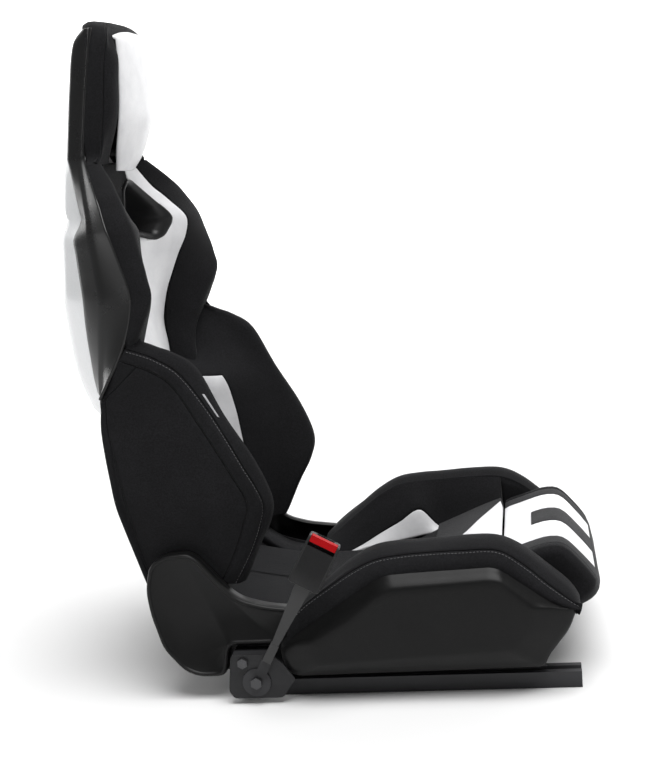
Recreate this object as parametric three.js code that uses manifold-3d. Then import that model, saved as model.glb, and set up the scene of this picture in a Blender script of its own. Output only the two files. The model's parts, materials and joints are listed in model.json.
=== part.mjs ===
// Reclining sports seat on floor rails: millimetres, +X to the front, +Y to the seat's left, +Z up.
// Origin: centre of the plan box, on the underside of the floor rails. R is the -Y side, L the +Y side.

import * as THREE from 'three';
import { mergeVertices } from 'three/addons/utils/BufferGeometryUtils.js';
import { LoftGeometry } from 'three/addons/geometries/LoftGeometry.js';
import Module from 'manifold-3d';

const wasm = await Module();
wasm.setup();

// ---------- driving dimensions ----------

const GAP = 0.3; // clearance between pieces that touch
const RUN = 1; // clearance between pieces that slide or turn
const SHEET = 3; // thickness of plastic shells and pressed steel

const RAIL = { y: 216, width: 38, height: 24, slot: 14, rear: -150, front: 363, hole: 5.5 };
const UPPER_RAIL = { foot: 27, neck: 8, head: 20, top: 34, rear: -150, front: 312 };
const SIDE_PLATE_Y = 222;
const CROSS_TUBE = { radius: 10, front: [262, 70], rear: [-120, 75] };

const HINGE = { x: -215, z: 150 };
const DISC_R = 34;
const SHAFT_R = 5;
const WHEEL = { radius: 31, inner: 262, outer: 315, lobes: 9 };
const MEMBER_Y = [200, 210];
const MEMBER_TOP = 640;

const CENTRE_PAD_HALF = 156;
const BOLSTER_INNER = 158;
const SPLIT_X = 254; // where the fixed cushion ends and the sliding thigh support starts
const THIGH_HALF = 195;
const CARRIER = { half: 150, z: 84, tongueY: 80, tongueWidth: 20, rear: 130 };

const TRIM_Y = { inner: 232, rim: 264, face: 285 };
const COVER_Y = { inner: 229, outer: 250 };
const BRACKET_Y = [267, 270];
const BAR = { radius: 5, pivotX: 225, x: 302, z: 42, y: 190 };

const ANCHOR = { x: -111, z: 34 };
const STALK_LEAN = THREE.MathUtils.degToRad(29);
const BUCKLE = { width: 48, depth: 25, y: 305, bottom: 177, top: 253, slot: 6, slotWidth: 27, slotDepth: 25 };
const BUTTON = { width: 40, depth: 10, y: 312, height: 10, travel: 4 };

const LUMBAR_PAD_HALF = 136;
const HEAD_PAD_HALF = 100;
const HEAD_RECESS_X = -298;
const PAD_BACK = 37; // from the rear face of the backrest to the rear of the upper pads

// Backrest profiles over height: [z, value] pairs joined by straight lines.
const rearX = over([[420, -352], [433, -365], [503, -386], [605, -396], [697, -392], [781, -388],
  [885, -372], [973, -354], [1002, -338]]);
const shellEdgeX = over([[464, -313], [518, -280], [556, -261], [585, -254], [616, -250], [686, -273],
  [746, -297], [801, -328], [824, -335], [897, -326], [1002, -308]]);
const halfWidth = over([[160, 222], [215, 226], [300, 250], [400, 258], [464, 253], [541, 255], [632, 254],
  [690, 246], [710, 240], [750, 212], [790, 164], [812, 134], [900, 132], [1002, 125]]);
const facetX = over([[473, -318], [563, -306], [607, -299], [711, -316], [812, -345], [1002, -318]]);
const facetY = over([[473, 224], [563, 232], [607, 234], [711, 211], [812, 127], [1002, 118]]);
const panelEdgeX = over([[420, -316], [470, -331], [561, -337], [606, -337], [693, -349], [721, -338],
  [812, -360], [899, -348], [1002, -330]]);
const panelEdgeY = over([[420, 185], [470, 201], [561, 204], [606, 204], [693, 182], [721, 168],
  [812, 115], [899, 110], [1002, 105]]);
const lowerRearX = over([[160, -268], [210, -282], [302, -297], [394, -310], [464, -317]]);

const wingFrontX = over([[464, -268], [515, -260], [550, -247], [590, -229], [610, -223], [650, -231],
  [710, -250], [750, -270], [790, -294], [800, -300]]);
const wingFrontY = over([[464, 185], [515, 190], [550, 208], [590, 232], [610, 243], [650, 244], [710, 232],
  [750, 204], [790, 154], [800, 142]]);
const wingInnerX = over([[445, -298], [530, -307], [575, -298], [625, -279], [672, -256], [702, -253],
  [731, -277], [770, -311], [800, -325]]);
const wingInnerY = over([[445, 164], [672, 171], [702, 171], [731, 163], [770, 135], [800, 114]]);
const bibX = over([[445, -283], [500, -300], [600, -325], [700, -338], [800, -330]]);

const bolsterCrestX = over([[160, -134], [217, -110], [262, -85], [303, -77], [352, -94], [421, -133],
  [487, -169], [513, -184], [541, -240]]);
const bolsterStitchX = over([[160, -142], [207, -118], [267, -91], [300, -86], [360, -113], [448, -157],
  [489, -187], [517, -224], [541, -258]]);
const bolsterFootX = over([[160, -163], [250, -180], [312, -189], [383, -202], [430, -225], [470, -255],
  [541, -264]]);
const bolsterBaseX = over([[160, -180], [250, -206], [330, -227], [400, -256], [450, -282], [541, -266]]);
const bolsterBaseY = over([[160, 139], [430, 139], [450, 168], [541, 168]]);
const bolsterRearX = over([[160, -268], [210, -281], [302, -296], [394, -309], [464, -311], [518, -278],
  [541, -267]]);
const pocketX = over([[160, -205], [250, -232], [330, -250], [400, -272], [464, -287], [541, -267]]);
const lumbarX = over([[165, -178], [250, -205], [330, -225], [400, -255], [442, -281]]);
const lumbarRearX = over([[165, -235], [250, -258], [330, -278], [442, -325]]);

const headSeamX = over([[803, -311], [880, -300], [967, -291], [1001, -283]]);
const headPadSeamX = over([[803, -297], [840, -293], [879, -281], [953, -274], [1001, -268]]);

// Plastic covers in the side view, [x, z].
const TRIM_OUTLINE = [[310, 42], [318, 60], [348, 97], [358, 122], [357, 132], [335, 137], [254, 198],
  [240, 202], [89, 196], [74, 190], [5, 148], [-68, 97], [-75, 86], [-73, 68], [-66, 46], [-50, 38]];
const TRIM_FACE = [[262, 77], [276, 87], [291, 106], [296, 120], [297, 135], [290, 144], [253, 178],
  [239, 180], [93, 172], [74, 162], [35, 131], [-21, 99], [-26, 92], [-24, 80], [-19, 70], [-13, 63]];
const COVER_OUTLINE = [[-201, 36], [-160, 36], [-152, 84], [-82, 84], [-72, 98], [-45, 119], [-20, 133],
  [-66, 139], [-95, 143], [-125, 152], [-139, 160], [-157, 178], [-187, 215], [-204, 227], [-242, 224],
  [-264, 209], [-272, 171], [-268, 135], [-253, 80], [-223, 45]];

// Harness opening in the front view, right-hand corner values as [|y|, z].
const HARNESS_HOLE = [[62, 690], [62, 757], [76, 771], [92, 769], [142, 724], [150, 708], [149, 694],
  [138, 674], [124, 668]];

// ---------- colours ----------

const LOOKS = {
  blackFabric: { color: 0x17171a, roughness: 0.85, metalness: 0 },
  greyFabric: { color: 0x404044, roughness: 0.85, metalness: 0 },
  whiteLeather: { color: 0xe6e6e8, roughness: 0.5, metalness: 0 },
  darkPlastic: { color: 0x1c1c1d, roughness: 0.6, metalness: 0 },
  silverPlastic: { color: 0xdadbdd, roughness: 0.25, metalness: 0.1 },
  blackSteel: { color: 0x1f1f21, roughness: 0.45, metalness: 0.7 },
  bareSteel: { color: 0x8d8f92, roughness: 0.35, metalness: 0.9 },
  redPlastic: { color: 0xc81018, roughness: 0.35, metalness: 0 },
};

const seat = new THREE.Group();

// Adds one named piece to the seat.
function add(name, look, shape, parent = seat) {
  const geometry = shape.isBufferGeometry ? shape : toGeometry(shape);
  const mesh = new THREE.Mesh(geometry, new THREE.MeshStandardMaterial(LOOKS[look]));
  mesh.name = name;
  parent.add(mesh);
}

// Adds a left piece and its mirror image on the right.
function addPair(name, look, leftShape) {
  const left = asGeometry(leftShape);
  add(`${name}_L`, look, left);
  add(`${name}_R`, look, mirrored(left));
}

// Adds a right piece from the shape it would have on the left.
function addRight(name, look, leftShape) {
  add(name, look, mirrored(asGeometry(leftShape)));
}

// ---------- geometry helpers ----------

// Straight-line interpolation through [position, value] pairs.
function over(pairs) {
  return (t) => {
    const next = pairs.findIndex(([position]) => position >= t);
    if (next === 0) return pairs[0][1];
    if (next < 0) return pairs[pairs.length - 1][1];
    const [[p0, v0], [p1, v1]] = [pairs[next - 1], pairs[next]];
    return THREE.MathUtils.mapLinear(t, p0, p1, v0, v1);
  };
}

function toSolid(geometry) {
  const bare = new THREE.BufferGeometry().copy(geometry);
  bare.deleteAttribute('normal');
  bare.deleteAttribute('uv');
  const merged = mergeVertices(bare, 1e-4);
  const vertProperties = new Float32Array(merged.attributes.position.array);
  const triVerts = new Uint32Array(merged.index.array);
  return new wasm.Manifold(new wasm.Mesh({ numProp: 3, vertProperties, triVerts }));
}

function toGeometry(solid) {
  const mesh = solid.getMesh();
  const geometry = new THREE.BufferGeometry();
  geometry.setAttribute('position', new THREE.BufferAttribute(mesh.vertProperties, 3));
  geometry.setIndex(new THREE.BufferAttribute(mesh.triVerts, 1));
  return geometry;
}

function asGeometry(shape) {
  return shape.isBufferGeometry ? shape : toGeometry(shape);
}

// Mirror image across the seat's middle plane, with the faces turned back outwards.
function mirrored(geometry) {
  const bare = new THREE.BufferGeometry().copy(geometry);
  const copy = mergeVertices(bare.deleteAttribute('normal').deleteAttribute('uv'), 1e-4);
  copy.scale(1, -1, 1);
  const index = copy.index.array;
  for (let i = 0; i < index.length; i += 3) [index[i], index[i + 1]] = [index[i + 1], index[i]];
  return copy;
}

// Closed outline through [a, b] corners, each rounded by up to the given radius.
function outline(corners, radius = 0) {
  const points = corners.map(([a, b]) => new THREE.Vector2(a, b));
  const shape = new THREE.Shape();
  points.forEach((corner, i) => {
    const before = points[(i + points.length - 1) % points.length];
    const after = points[(i + 1) % points.length];
    const cut = Math.min(radius, corner.distanceTo(before) * 0.45, corner.distanceTo(after) * 0.45);
    const start = corner.clone().add(before.clone().sub(corner).setLength(cut));
    const end = corner.clone().add(after.clone().sub(corner).setLength(cut));
    if (i === 0) shape.moveTo(start.x, start.y);
    else shape.lineTo(start.x, start.y);
    if (cut > 0) shape.quadraticCurveTo(corner.x, corner.y, end.x, end.y);
  });
  shape.closePath();
  return shape;
}

// Corners moved inwards by a wall thickness, for outlines that turn anticlockwise.
function inset(corners, wall) {
  return corners.map((corner, i) => {
    const at = new THREE.Vector2(...corner);
    const before = new THREE.Vector2(...corners[(i + corners.length - 1) % corners.length]);
    const after = new THREE.Vector2(...corners[(i + 1) % corners.length]);
    const left = (v) => new THREE.Vector2(-v.y, v.x).normalize();
    const n0 = left(at.clone().sub(before));
    const n1 = left(after.clone().sub(at));
    const mitre = n0.add(n1).normalize();
    return at.add(mitre.multiplyScalar(wall / Math.max(0.5, mitre.dot(n1)))).toArray();
  });
}

// Prism with its outline in the side view [x, z], between two y values.
function alongY(shape, y0, y1, bevel = 0, curveSegments = 3) {
  const options = { depth: y1 - y0 - 2 * bevel, curveSegments, bevelEnabled: bevel > 0 };
  Object.assign(options, { bevelThickness: bevel, bevelSize: bevel, bevelOffset: -bevel, bevelSegments: 2 });
  const prism = new THREE.ExtrudeGeometry(shape, options);
  return prism.rotateX(Math.PI / 2).translate(0, y1 - bevel, 0);
}

// Prism with its outline in the front view [y, z], between two x values.
function alongX(shape, x0, x1) {
  const prism = new THREE.ExtrudeGeometry(shape, { depth: x1 - x0, bevelEnabled: false, curveSegments: 3 });
  return prism.rotateX(Math.PI / 2).rotateZ(Math.PI / 2).translate(x0, 0, 0);
}

// Prism with its outline in the plan view [x, y], between two z values.
function alongZ(shape, z0, z1) {
  const prism = new THREE.ExtrudeGeometry(shape, { depth: z1 - z0, bevelEnabled: false, curveSegments: 3 });
  return prism.translate(0, 0, z0);
}

// Box from its low and high corners.
function box([x0, y0, z0], [x1, y1, z1]) {
  const geometry = new THREE.BoxGeometry(x1 - x0, y1 - y0, z1 - z0);
  return geometry.translate((x0 + x1) / 2, (y0 + y1) / 2, (z0 + z1) / 2);
}

// Round bar along Y, between two y values, at a place in the side view.
function barY(radius, x, z, y0, y1, sides = 20) {
  const bar = new THREE.CylinderGeometry(radius, radius, y1 - y0, sides);
  return bar.translate(x, (y0 + y1) / 2, z);
}

// Round tube or rod along a path of corners, each bent to a radius.
function bentRod(corners, radius, bend, sides = 8) {
  const points = corners.map((corner) => new THREE.Vector3(...corner));
  const path = new THREE.CurvePath();
  let from = points[0];
  points.slice(1, -1).forEach((corner, i) => {
    const start = corner.clone().add(points[i].clone().sub(corner).setLength(bend));
    const end = corner.clone().add(points[i + 2].clone().sub(corner).setLength(bend));
    path.add(new THREE.LineCurve3(from, start));
    path.add(new THREE.QuadraticBezierCurve3(start, corner, end));
    from = end;
  });
  path.add(new THREE.LineCurve3(from, points[points.length - 1]));
  const section = new THREE.Shape();
  section.absarc(0, 0, radius, 0, 2 * Math.PI);
  const steps = Math.max(8, (points.length - 2) * 16);
  return new THREE.ExtrudeGeometry(section, { extrudePath: path, steps, curveSegments: sides / 2 });
}

// Solid through rings of [x, y] points, one ring for each height.
function loftZ(heights, ring) {
  const sections = heights.map((z) => ring(z).map(([x, y]) => new THREE.Vector3(x, y, z)));
  const area = THREE.ShapeUtils.area(sections[0].map((p) => new THREE.Vector2(p.x, p.y)));
  if (area < 0) sections.forEach((section) => section.reverse());
  return new LoftGeometry(sections, { capStart: true, capEnd: true });
}

// Solid through [y, corners] stations, each a ring of [x, z] corners that turns anticlockwise.
function loftY(stations) {
  const sections = stations.map(([y, corners]) => {
    const points = corners.map(([x, z]) => new THREE.Vector3(x, y, z));
    return points.reverse();
  });
  return new LoftGeometry(sections, { capStart: true, capEnd: true });
}

// A ring made symmetric from its +Y half, which is listed from the middle outwards or inwards.
function bothSides(half) {
  return [...half, ...half.map(([x, y]) => [x, -y]).reverse()];
}

// ---------- rails ----------

function lowerRail() {
  const { y, width, height, slot, rear, front, hole } = RAIL;
  const [out, mouth, lip] = [width / 2, slot / 2, 6];
  const section = [[-out, 0], [out, 0], [out, height], [mouth, height], [mouth, height - lip],
    [mouth + SHEET, height - lip], [mouth + SHEET, height - SHEET], [out - SHEET, height - SHEET],
    [out - SHEET, SHEET], [SHEET - out, SHEET], [SHEET - out, height - SHEET],
    [-mouth - SHEET, height - SHEET], [-mouth - SHEET, height - lip], [-mouth, height - lip],
    [-mouth, height], [-out, height]];
  let rail = toSolid(alongX(outline(section.map(([a, b]) => [a + y, b])), rear, front));
  for (const x of [rear + 20, front - 20]) {
    const drill = new THREE.CylinderGeometry(hole, hole, 3 * SHEET, 16).rotateX(Math.PI / 2);
    rail = rail.subtract(toSolid(drill.translate(x, y, 0)));
  }
  return rail;
}

function upperRail() {
  const { foot, neck, head, top, rear, front } = UPPER_RAIL;
  const [f, n, h] = [foot / 2, neck / 2, head / 2];
  const section = [[-f, 5], [f, 5], [f, 9], [n, 9], [n, top - 4], [h, top - 4], [h, top], [-h, top],
    [-h, top - 4], [-n, top - 4], [-n, 9], [-f, 9]];
  return alongX(outline(section.map(([a, b]) => [a + RAIL.y, b])), rear, front);
}

addPair('lower_rail', 'blackSteel', lowerRail());
addPair('upper_rail', 'blackSteel', upperRail());

// ---------- seat base frame ----------

function sidePlate() {
  const top = UPPER_RAIL.top + GAP;
  const arm = [[-150, top], [300, top], [306, 60], [296, 96], [240, 108], [-90, 108], [-140, 122],
    [-180, 146], [-200, 165], [-235, 165], [-245, 130], [-225, 80], [-180, 46]];
  const plate = toSolid(alongY(outline(arm, 14), SIDE_PLATE_Y, SIDE_PLATE_Y + SHEET));
  const lobe = toSolid(barY(DISC_R + 4, HINGE.x, HINGE.z, SIDE_PLATE_Y, SIDE_PLATE_Y + SHEET, 28));
  return plate.add(lobe).subtract(shaftHole());
}

function shaftHole() {
  return toSolid(barY(SHAFT_R + RUN, HINGE.x, HINGE.z, 190, 260));
}

function recliner(y0, y1, radius) {
  return toSolid(barY(radius, HINGE.x, HINGE.z, y0, y1, 28)).subtract(shaftHole());
}

function seatPan() {
  const top = [[-125, 90], [90, 97], [248, 121]];
  const under = top.map(([x, z]) => [x, z - SHEET]).reverse();
  return alongY(outline([...under, ...top]), -205, 205);
}

function thighGuide() {
  const { z, tongueY, tongueWidth, rear } = CARRIER;
  const [inner, outer] = [tongueWidth / 2 + RUN, tongueWidth / 2 + RUN + 2];
  const [low, high] = [z - RUN - 2, z + SHEET + RUN + 2];
  const section = [[-outer, low], [outer, low], [outer, high], [6, high], [6, high - 2], [inner, high - 2],
    [inner, low + 2], [-inner, low + 2], [-inner, high - 2], [-6, high - 2], [-6, high], [-outer, high]];
  return alongX(outline(section.map(([a, b]) => [a + tongueY, b])), rear, SPLIT_X - 6);
}

addPair('side_frame', 'blackSteel', sidePlate());
for (const [end, [x, z]] of [['front', CROSS_TUBE.front], ['rear', CROSS_TUBE.rear]]) {
  const reach = SIDE_PLATE_Y - GAP;
  add(`${end}_cross_tube`, 'blackSteel', barY(CROSS_TUBE.radius, x, z, -reach, reach));
}
add('seat_pan', 'blackSteel', seatPan());
addPair('thigh_guide', 'blackSteel', thighGuide());
addPair('recliner_base_disc', 'bareSteel', recliner(216, SIDE_PLATE_Y - GAP, DISC_R));

// ---------- cushion ----------

function centrePad() {
  const under = [[-118, 92], [90, 98.5], [SPLIT_X - 6, 122.5], [SPLIT_X, 124]];
  const top = [[SPLIT_X, 180], [230, 172], [148, 142], [100, 121], [60, 112], [-20, 107], [-100, 109],
    [-150, 122], [-154, 112], [-142, 96]];
  return alongY(outline([...under, ...top], 12), -CENTRE_PAD_HALF, CENTRE_PAD_HALF, 3, 2);
}

function cushionBolster() {
  const side = [[-60, 114], [100, 119], [250, 128], [300, 112], [345, 107], [368, 122], [370, 132],
    [331, 176], [304, 201], [275, 223], [245, 234], [183, 233], [110, 230], [73, 223], [27, 197],
    [-13, 157], [-62, 122]];
  const front = [[BOLSTER_INNER, 100], [268, 100], [270, 213], [262, 223], [248, 231], [233, 234.5],
    [216, 231], [197, 215], [168, 168], [BOLSTER_INNER, 148]];
  const body = toSolid(alongY(outline(side, 10), 150, 275));
  const shaped = body.intersect(toSolid(alongX(outline(front, 4), -80, 400)));
  const around = (corners, radius, y) => toSolid(alongY(outline(inset(corners, -GAP), radius), y - GAP, 300));
  return shaped
    .subtract(around(TRIM_OUTLINE, 0, TRIM_Y.inner))
    .subtract(around(COVER_OUTLINE, 10, COVER_Y.inner))
    .subtract(toSolid(box([SPLIT_X, 150, 90], [400, THIGH_HALF + 2, 260])));
}

function thighPad() {
  const side = [[SPLIT_X + 3, 89], [336, 90], [356, 92], [374, 98], [389, 108], [399, 122], [400, 136],
    [390, 153], [373, 174], [353, 197], [340, 203], [318, 201], [282, 190], [SPLIT_X + 3, 181]];
  return alongY(outline(side, 10), -THIGH_HALF, THIGH_HALF, 5, 2);
}

function thighCarrier() {
  const { half, z, tongueY, tongueWidth, rear } = CARRIER;
  const edge = SPLIT_X + 8;
  const top = z + SHEET;
  let plate = toSolid(box([edge, -half, z], [332, half, top]));
  for (const y of [-tongueY, tongueY]) {
    const tongue = box([rear, y - tongueWidth / 2, z], [edge + 1, y + tongueWidth / 2, top]);
    plate = plate.add(toSolid(tongue));
  }
  return plate;
}

add('cushion_centre_pad', 'blackFabric', centrePad());
addPair('cushion_bolster', 'blackFabric', cushionBolster());
add('thigh_pad', 'greyFabric', thighPad());
add('thigh_carrier', 'blackSteel', thighCarrier());

// ---------- plastic side trims ----------

function sideTrim() {
  const { inner, rim, face } = TRIM_Y;
  const skin = loftY([[inner, TRIM_OUTLINE], [rim, TRIM_OUTLINE], [face, TRIM_FACE]]);
  const [rimInside, faceInside] = [inset(TRIM_OUTLINE, SHEET), inset(TRIM_FACE, SHEET)];
  const hollow = loftY([[inner - 1, rimInside], [rim - SHEET, rimInside], [face - SHEET, faceInside]]);
  return toSolid(skin).subtract(toSolid(hollow));
}

function reclinerCover(withShaftHole) {
  const { inner, outer } = COVER_Y;
  const skin = toSolid(alongY(outline(COVER_OUTLINE, 10), inner, outer));
  const hollow = outline(inset(COVER_OUTLINE, SHEET), 8);
  const cover = skin.subtract(toSolid(alongY(hollow, inner - 1, outer - SHEET)));
  return withShaftHole ? cover.subtract(shaftHole()) : cover;
}

addPair('side_trim', 'darkPlastic', sideTrim());
add('recliner_cover_L', 'darkPlastic', reclinerCover(true));
add('recliner_cover_R', 'darkPlastic', mirrored(toGeometry(reclinerCover(false))));

// ---------- belt bracket, on the right ----------

function hexBolt(x, z, headY, headDepth, shankY, shankR, headR) {
  const head = new THREE.CylinderGeometry(headR, headR, headDepth, 6);
  const shank = barY(shankR, x, z, shankY, headY + headDepth / 2, 16);
  return toSolid(head.translate(x, headY + headDepth / 2, z)).add(toSolid(shank));
}

const BRACKET_BOLT = { x: -130, z: 64 };

function beltBracket() {
  const [y0, y1] = BRACKET_Y;
  const corners = [[-146, 9], [-73, 9], [-59, 30], [-53, 36], [-71, 61], [-88, 75], [-141, 77],
    [-148, 73], [-154, 20]];
  const plate = toSolid(alongY(outline(corners, 5), y0, y1));
  const flange = toSolid(box([-146, SIDE_PLATE_Y + SHEET + GAP, 72], [-92, y0 + 1, 75]));
  const hole = (at, radius) => toSolid(barY(radius, at.x, at.z, y0 - 1, y1 + 1, 16));
  return plate.add(flange).subtract(hole(BRACKET_BOLT, 5)).subtract(hole(ANCHOR, 6));
}

addRight('belt_bracket', 'blackSteel', beltBracket());
addRight('bracket_bolt', 'bareSteel',
  hexBolt(BRACKET_BOLT.x, BRACKET_BOLT.z, BRACKET_Y[1] + GAP, 6, SIDE_PLATE_Y + SHEET + GAP, 4.6, 8));
addRight('anchor_bolt', 'bareSteel', hexBolt(ANCHOR.x, ANCHOR.z, BRACKET_Y[1] + 4, 5, 262, 5.6, 9));

// ---------- buckle: built upright over the anchor bolt, then leant forwards ----------

const buckle = new THREE.Group();
buckle.position.set(ANCHOR.x, 0, ANCHOR.z);
buckle.rotation.y = STALK_LEAN;
seat.add(buckle);

function anchorPlate() {
  const [y0, y1] = [-273.5, -271];
  const disc = toSolid(barY(21, 0, 0, y0, y1, 28));
  const neck = toSolid(box([-8, y0, 10], [8, y1, 36]));
  return disc.add(neck).subtract(toSolid(barY(6.6, 0, 0, y0 - 1, y1 + 1, 16)));
}

// Bar of rectangular section through stations [height, y, width, depth].
function taperedBar(stations) {
  const sections = stations.map(([z, y, width, depth]) => {
    const corners = [[-1, -1], [1, -1], [1, 1], [-1, 1]];
    return corners.map(([a, b]) => new THREE.Vector3(a * width / 2, y + b * depth / 2, z));
  });
  return new LoftGeometry(sections, { capStart: true, capEnd: true });
}

function buckleHousing() {
  const { width, depth, y, bottom, top, slot, slotWidth, slotDepth } = BUCKLE;
  const w = width / 2;
  const side = outline([[-w, bottom], [w, bottom], [w, top], [-w, top]], 4);
  const body = toSolid(alongY(side, -y - depth / 2, depth / 2 - y, 3));
  const slotY = -y + 5.5;
  const [near, far] = [slotY - slot / 2, slotY + slot / 2];
  const mouth = box([-slotWidth / 2, near, top - slotDepth], [slotWidth / 2, far, top + 2]);
  const low = top - BUTTON.height - BUTTON.travel - 1;
  const half = BUTTON.width / 2 + 0.5;
  const pocketBack = 0.5 - BUTTON.y + BUTTON.depth / 2;
  const pocket = box([-half, -y - depth, low], [half, pocketBack, top + 2]);
  return body.subtract(toSolid(mouth)).subtract(toSolid(pocket));
}

function buckleButton() {
  const { width, depth, y, height } = BUTTON;
  const top = BUCKLE.top + 1;
  return box([-width / 2, -y - depth / 2, top - height], [width / 2, depth / 2 - y, top]);
}

add('anchor_plate', 'blackSteel', anchorPlate(), buckle);
add('stalk_sleeve', 'darkPlastic', taperedBar([[36 + GAP, -274, 14, 8], [71, -285, 13, 9]]), buckle);
add('stalk_sheath', 'darkPlastic',
  taperedBar([[71 + GAP, -285.3, 11, 9], [110, -297, 15, 12], [BUCKLE.bottom - GAP, -303, 24, 14]]), buckle);
add('buckle_housing', 'darkPlastic', buckleHousing(), buckle);
add('buckle_button', 'redPlastic', buckleButton(), buckle);

// ---------- slide release bar ----------

function releaseBar() {
  const { radius, pivotX, x, z, y } = BAR;
  const loop = [[pivotX + 6, -y, z], [x, -y, z], [x, y, z], [pivotX + 6, y, z]];
  let bar = toSolid(bentRod(loop, radius, 18));
  for (const side of [-y, y]) {
    bar = bar.add(toSolid(barY(9, pivotX, z, side - 5, side + 5)));
    bar = bar.subtract(toSolid(barY(4 + 0.5, pivotX, z, side - 6, side + 6)));
  }
  return bar;
}

addPair('release_pivot', 'bareSteel', barY(4, BAR.pivotX, BAR.z, BAR.y - 8, SIDE_PLATE_Y - GAP, 16));
add('slide_release_bar', 'blackSteel', releaseBar());

// ---------- recliner handwheel and its cross shaft ----------

function handwheel() {
  const { radius, inner, outer, lobes } = WHEEL;
  const rim = [];
  for (let i = 0; i < 6 * lobes; i += 1) {
    const angle = (i / (6 * lobes)) * 2 * Math.PI;
    const r = radius - 2 + 2 * Math.cos(lobes * angle);
    rim.push([HINGE.x + r * Math.cos(angle), HINGE.z + r * Math.sin(angle)]);
  }
  const grip = toSolid(alongY(outline(rim), outer - 32, outer, 3));
  const hub = toSolid(barY(14, HINGE.x, HINGE.z, inner, outer - 20));
  return grip.add(hub);
}

add('recline_handwheel', 'darkPlastic', handwheel());
add('recline_cross_shaft', 'bareSteel', barY(SHAFT_R, HINGE.x, HINGE.z, -SIDE_PLATE_Y, WHEEL.inner - GAP));

// ---------- backrest frame ----------

function sideMember() {
  const line = [[-275, 300], [-300, 440], [-301, 600], [-298, MEMBER_TOP]];
  const front = line.map(([x, z]) => [x + 11, z]);
  const back = line.map(([x, z]) => [x - 11, z]).reverse();
  const lug = [[-30, -6], [-8, -30], [20, -18], [15, 20], [-23, 60]];
  const foot = lug.map(([x, z]) => [HINGE.x + x, HINGE.z + z]);
  const plate = toSolid(alongY(outline([...foot, ...front, ...back], 8), ...MEMBER_Y));
  return plate.subtract(shaftHole());
}

function upperCrossMember() {
  const z = 632;
  const reach = MEMBER_Y[0] - GAP;
  return bentRod([[-300, -reach, z], [-300, -184, z], [-371, -116, z], [-371, 116, z], [-300, 184, z],
    [-300, reach, z]], 7, 9);
}

function headFrame() {
  const leg = [[645, 19], [781, 18], [885, 19], [960, 20]];
  const up = leg.map(([z, forward]) => [rearX(z) + forward, -55, z]);
  const down = up.map(([x, , z]) => [x, 55, z]).reverse();
  return bentRod([...up, ...down], 6, 20);
}

addPair('back_side_member', 'blackSteel', sideMember());
addPair('recliner_back_disc', 'bareSteel', recliner(MEMBER_Y[1] + GAP, 216 - GAP, DISC_R - 2));
add('back_lower_cross_tube', 'blackSteel', barY(8, -272, 262, GAP - MEMBER_Y[0], MEMBER_Y[0] - GAP));
add('back_upper_cross_tube', 'blackSteel', upperCrossMember());
add('head_frame', 'blackSteel', headFrame());

// ---------- backrest shells ----------

const SHELL_HEIGHTS = [464, 518, 561, 606, 650, 693, 721, 750, 790, 803, 812, 824, 897, 960, 1002];

// Rear face of the backrest at one height, from the middle out to the panel's edge, moved forwards.
function rearFace(z, forward) {
  const [edgeX, edgeY, middle] = [panelEdgeX(z), panelEdgeY(z), rearX(z)];
  const along = (share) => THREE.MathUtils.lerp(edgeX, middle, share);
  return [[middle + forward, 0.2 * edgeY], [along(0.97) + forward, 0.5 * edgeY],
    [along(0.7) + forward, 0.8 * edgeY], [edgeX + forward, edgeY - 1]];
}

function backShell() {
  const standOff = SHEET + 3;
  return toSolid(loftZ(SHELL_HEIGHTS, (z) => {
    const outer = [...rearFace(z, standOff), [facetX(z), facetY(z)], [shellEdgeX(z), halfWidth(z)]];
    const inner = [[shellEdgeX(z), halfWidth(z) - SHEET - 1], [facetX(z) + 2, facetY(z) - SHEET],
      ...rearFace(z, standOff + SHEET).map(([x, y]) => [x, y - 1]).reverse()];
    return bothSides([...outer, ...inner]);
  }));
}

function backPanel() {
  const ring = (z) => bothSides([...rearFace(z, 0), ...rearFace(z, SHEET).reverse()]);
  const panel = toSolid(loftZ([420, ...SHELL_HEIGHTS], ring));
  return panel.subtract(backShell().translate([-2 * GAP, 0, 0]));
}

function lowerRearPanel() {
  return loftZ([186, 302, 412], (z) => {
    const x = lowerRearX(z);
    return bothSides([[x - 9, 90], [x - 2, 212], [x + 1, 212], [x - 6, 90]]);
  });
}

function harnessPrism(grow) {
  const corners = inset(HARNESS_HOLE.slice().reverse(), -grow);
  return toSolid(alongX(outline(corners, 4), -410, -220));
}

// Cuts both harness openings through a piece.
function withHarnessHoles(solid, grow) {
  const hole = harnessPrism(grow);
  const other = toSolid(mirrored(toGeometry(hole)));
  return solid.subtract(hole).subtract(other);
}

function harnessBezel() {
  const sleeve = harnessPrism(0).subtract(harnessPrism(-SHEET));
  const [low, high] = [640, 800];
  const ahead = outline([[-338, 40], [-338, 62], [-262, 156], [-262, 170], [-200, 170], [-200, 40]]);
  const rearCut = [[-420, 40], [-388, 40], [-386, 84], [-372, 134], [-352, 158], [-352, 170], [-420, 170]];
  const behind = outline(rearCut);
  return sleeve.subtract(toSolid(alongZ(ahead, low, high))).subtract(toSolid(alongZ(behind, low, high)));
}

add('back_shell', 'darkPlastic', withHarnessHoles(backShell(), 0.5));
add('back_panel', 'silverPlastic', withHarnessHoles(backPanel(), 0.5));
add('lower_rear_panel', 'blackFabric', lowerRearPanel());
addPair('harness_bezel', 'darkPlastic', harnessBezel());

// ---------- backrest upholstery ----------

function lumbarPad() {
  return loftZ([168, 250, 330, 400, 442], (z) => {
    const [x, back] = [lumbarX(z), lumbarRearX(z)];
    const [half, corner] = [LUMBAR_PAD_HALF, LUMBAR_PAD_HALF - 10];
    return bothSides([[x, corner - 50], [x - 1, corner], [x - 8, half], [back + 6, half], [back, corner]]);
  });
}

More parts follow.
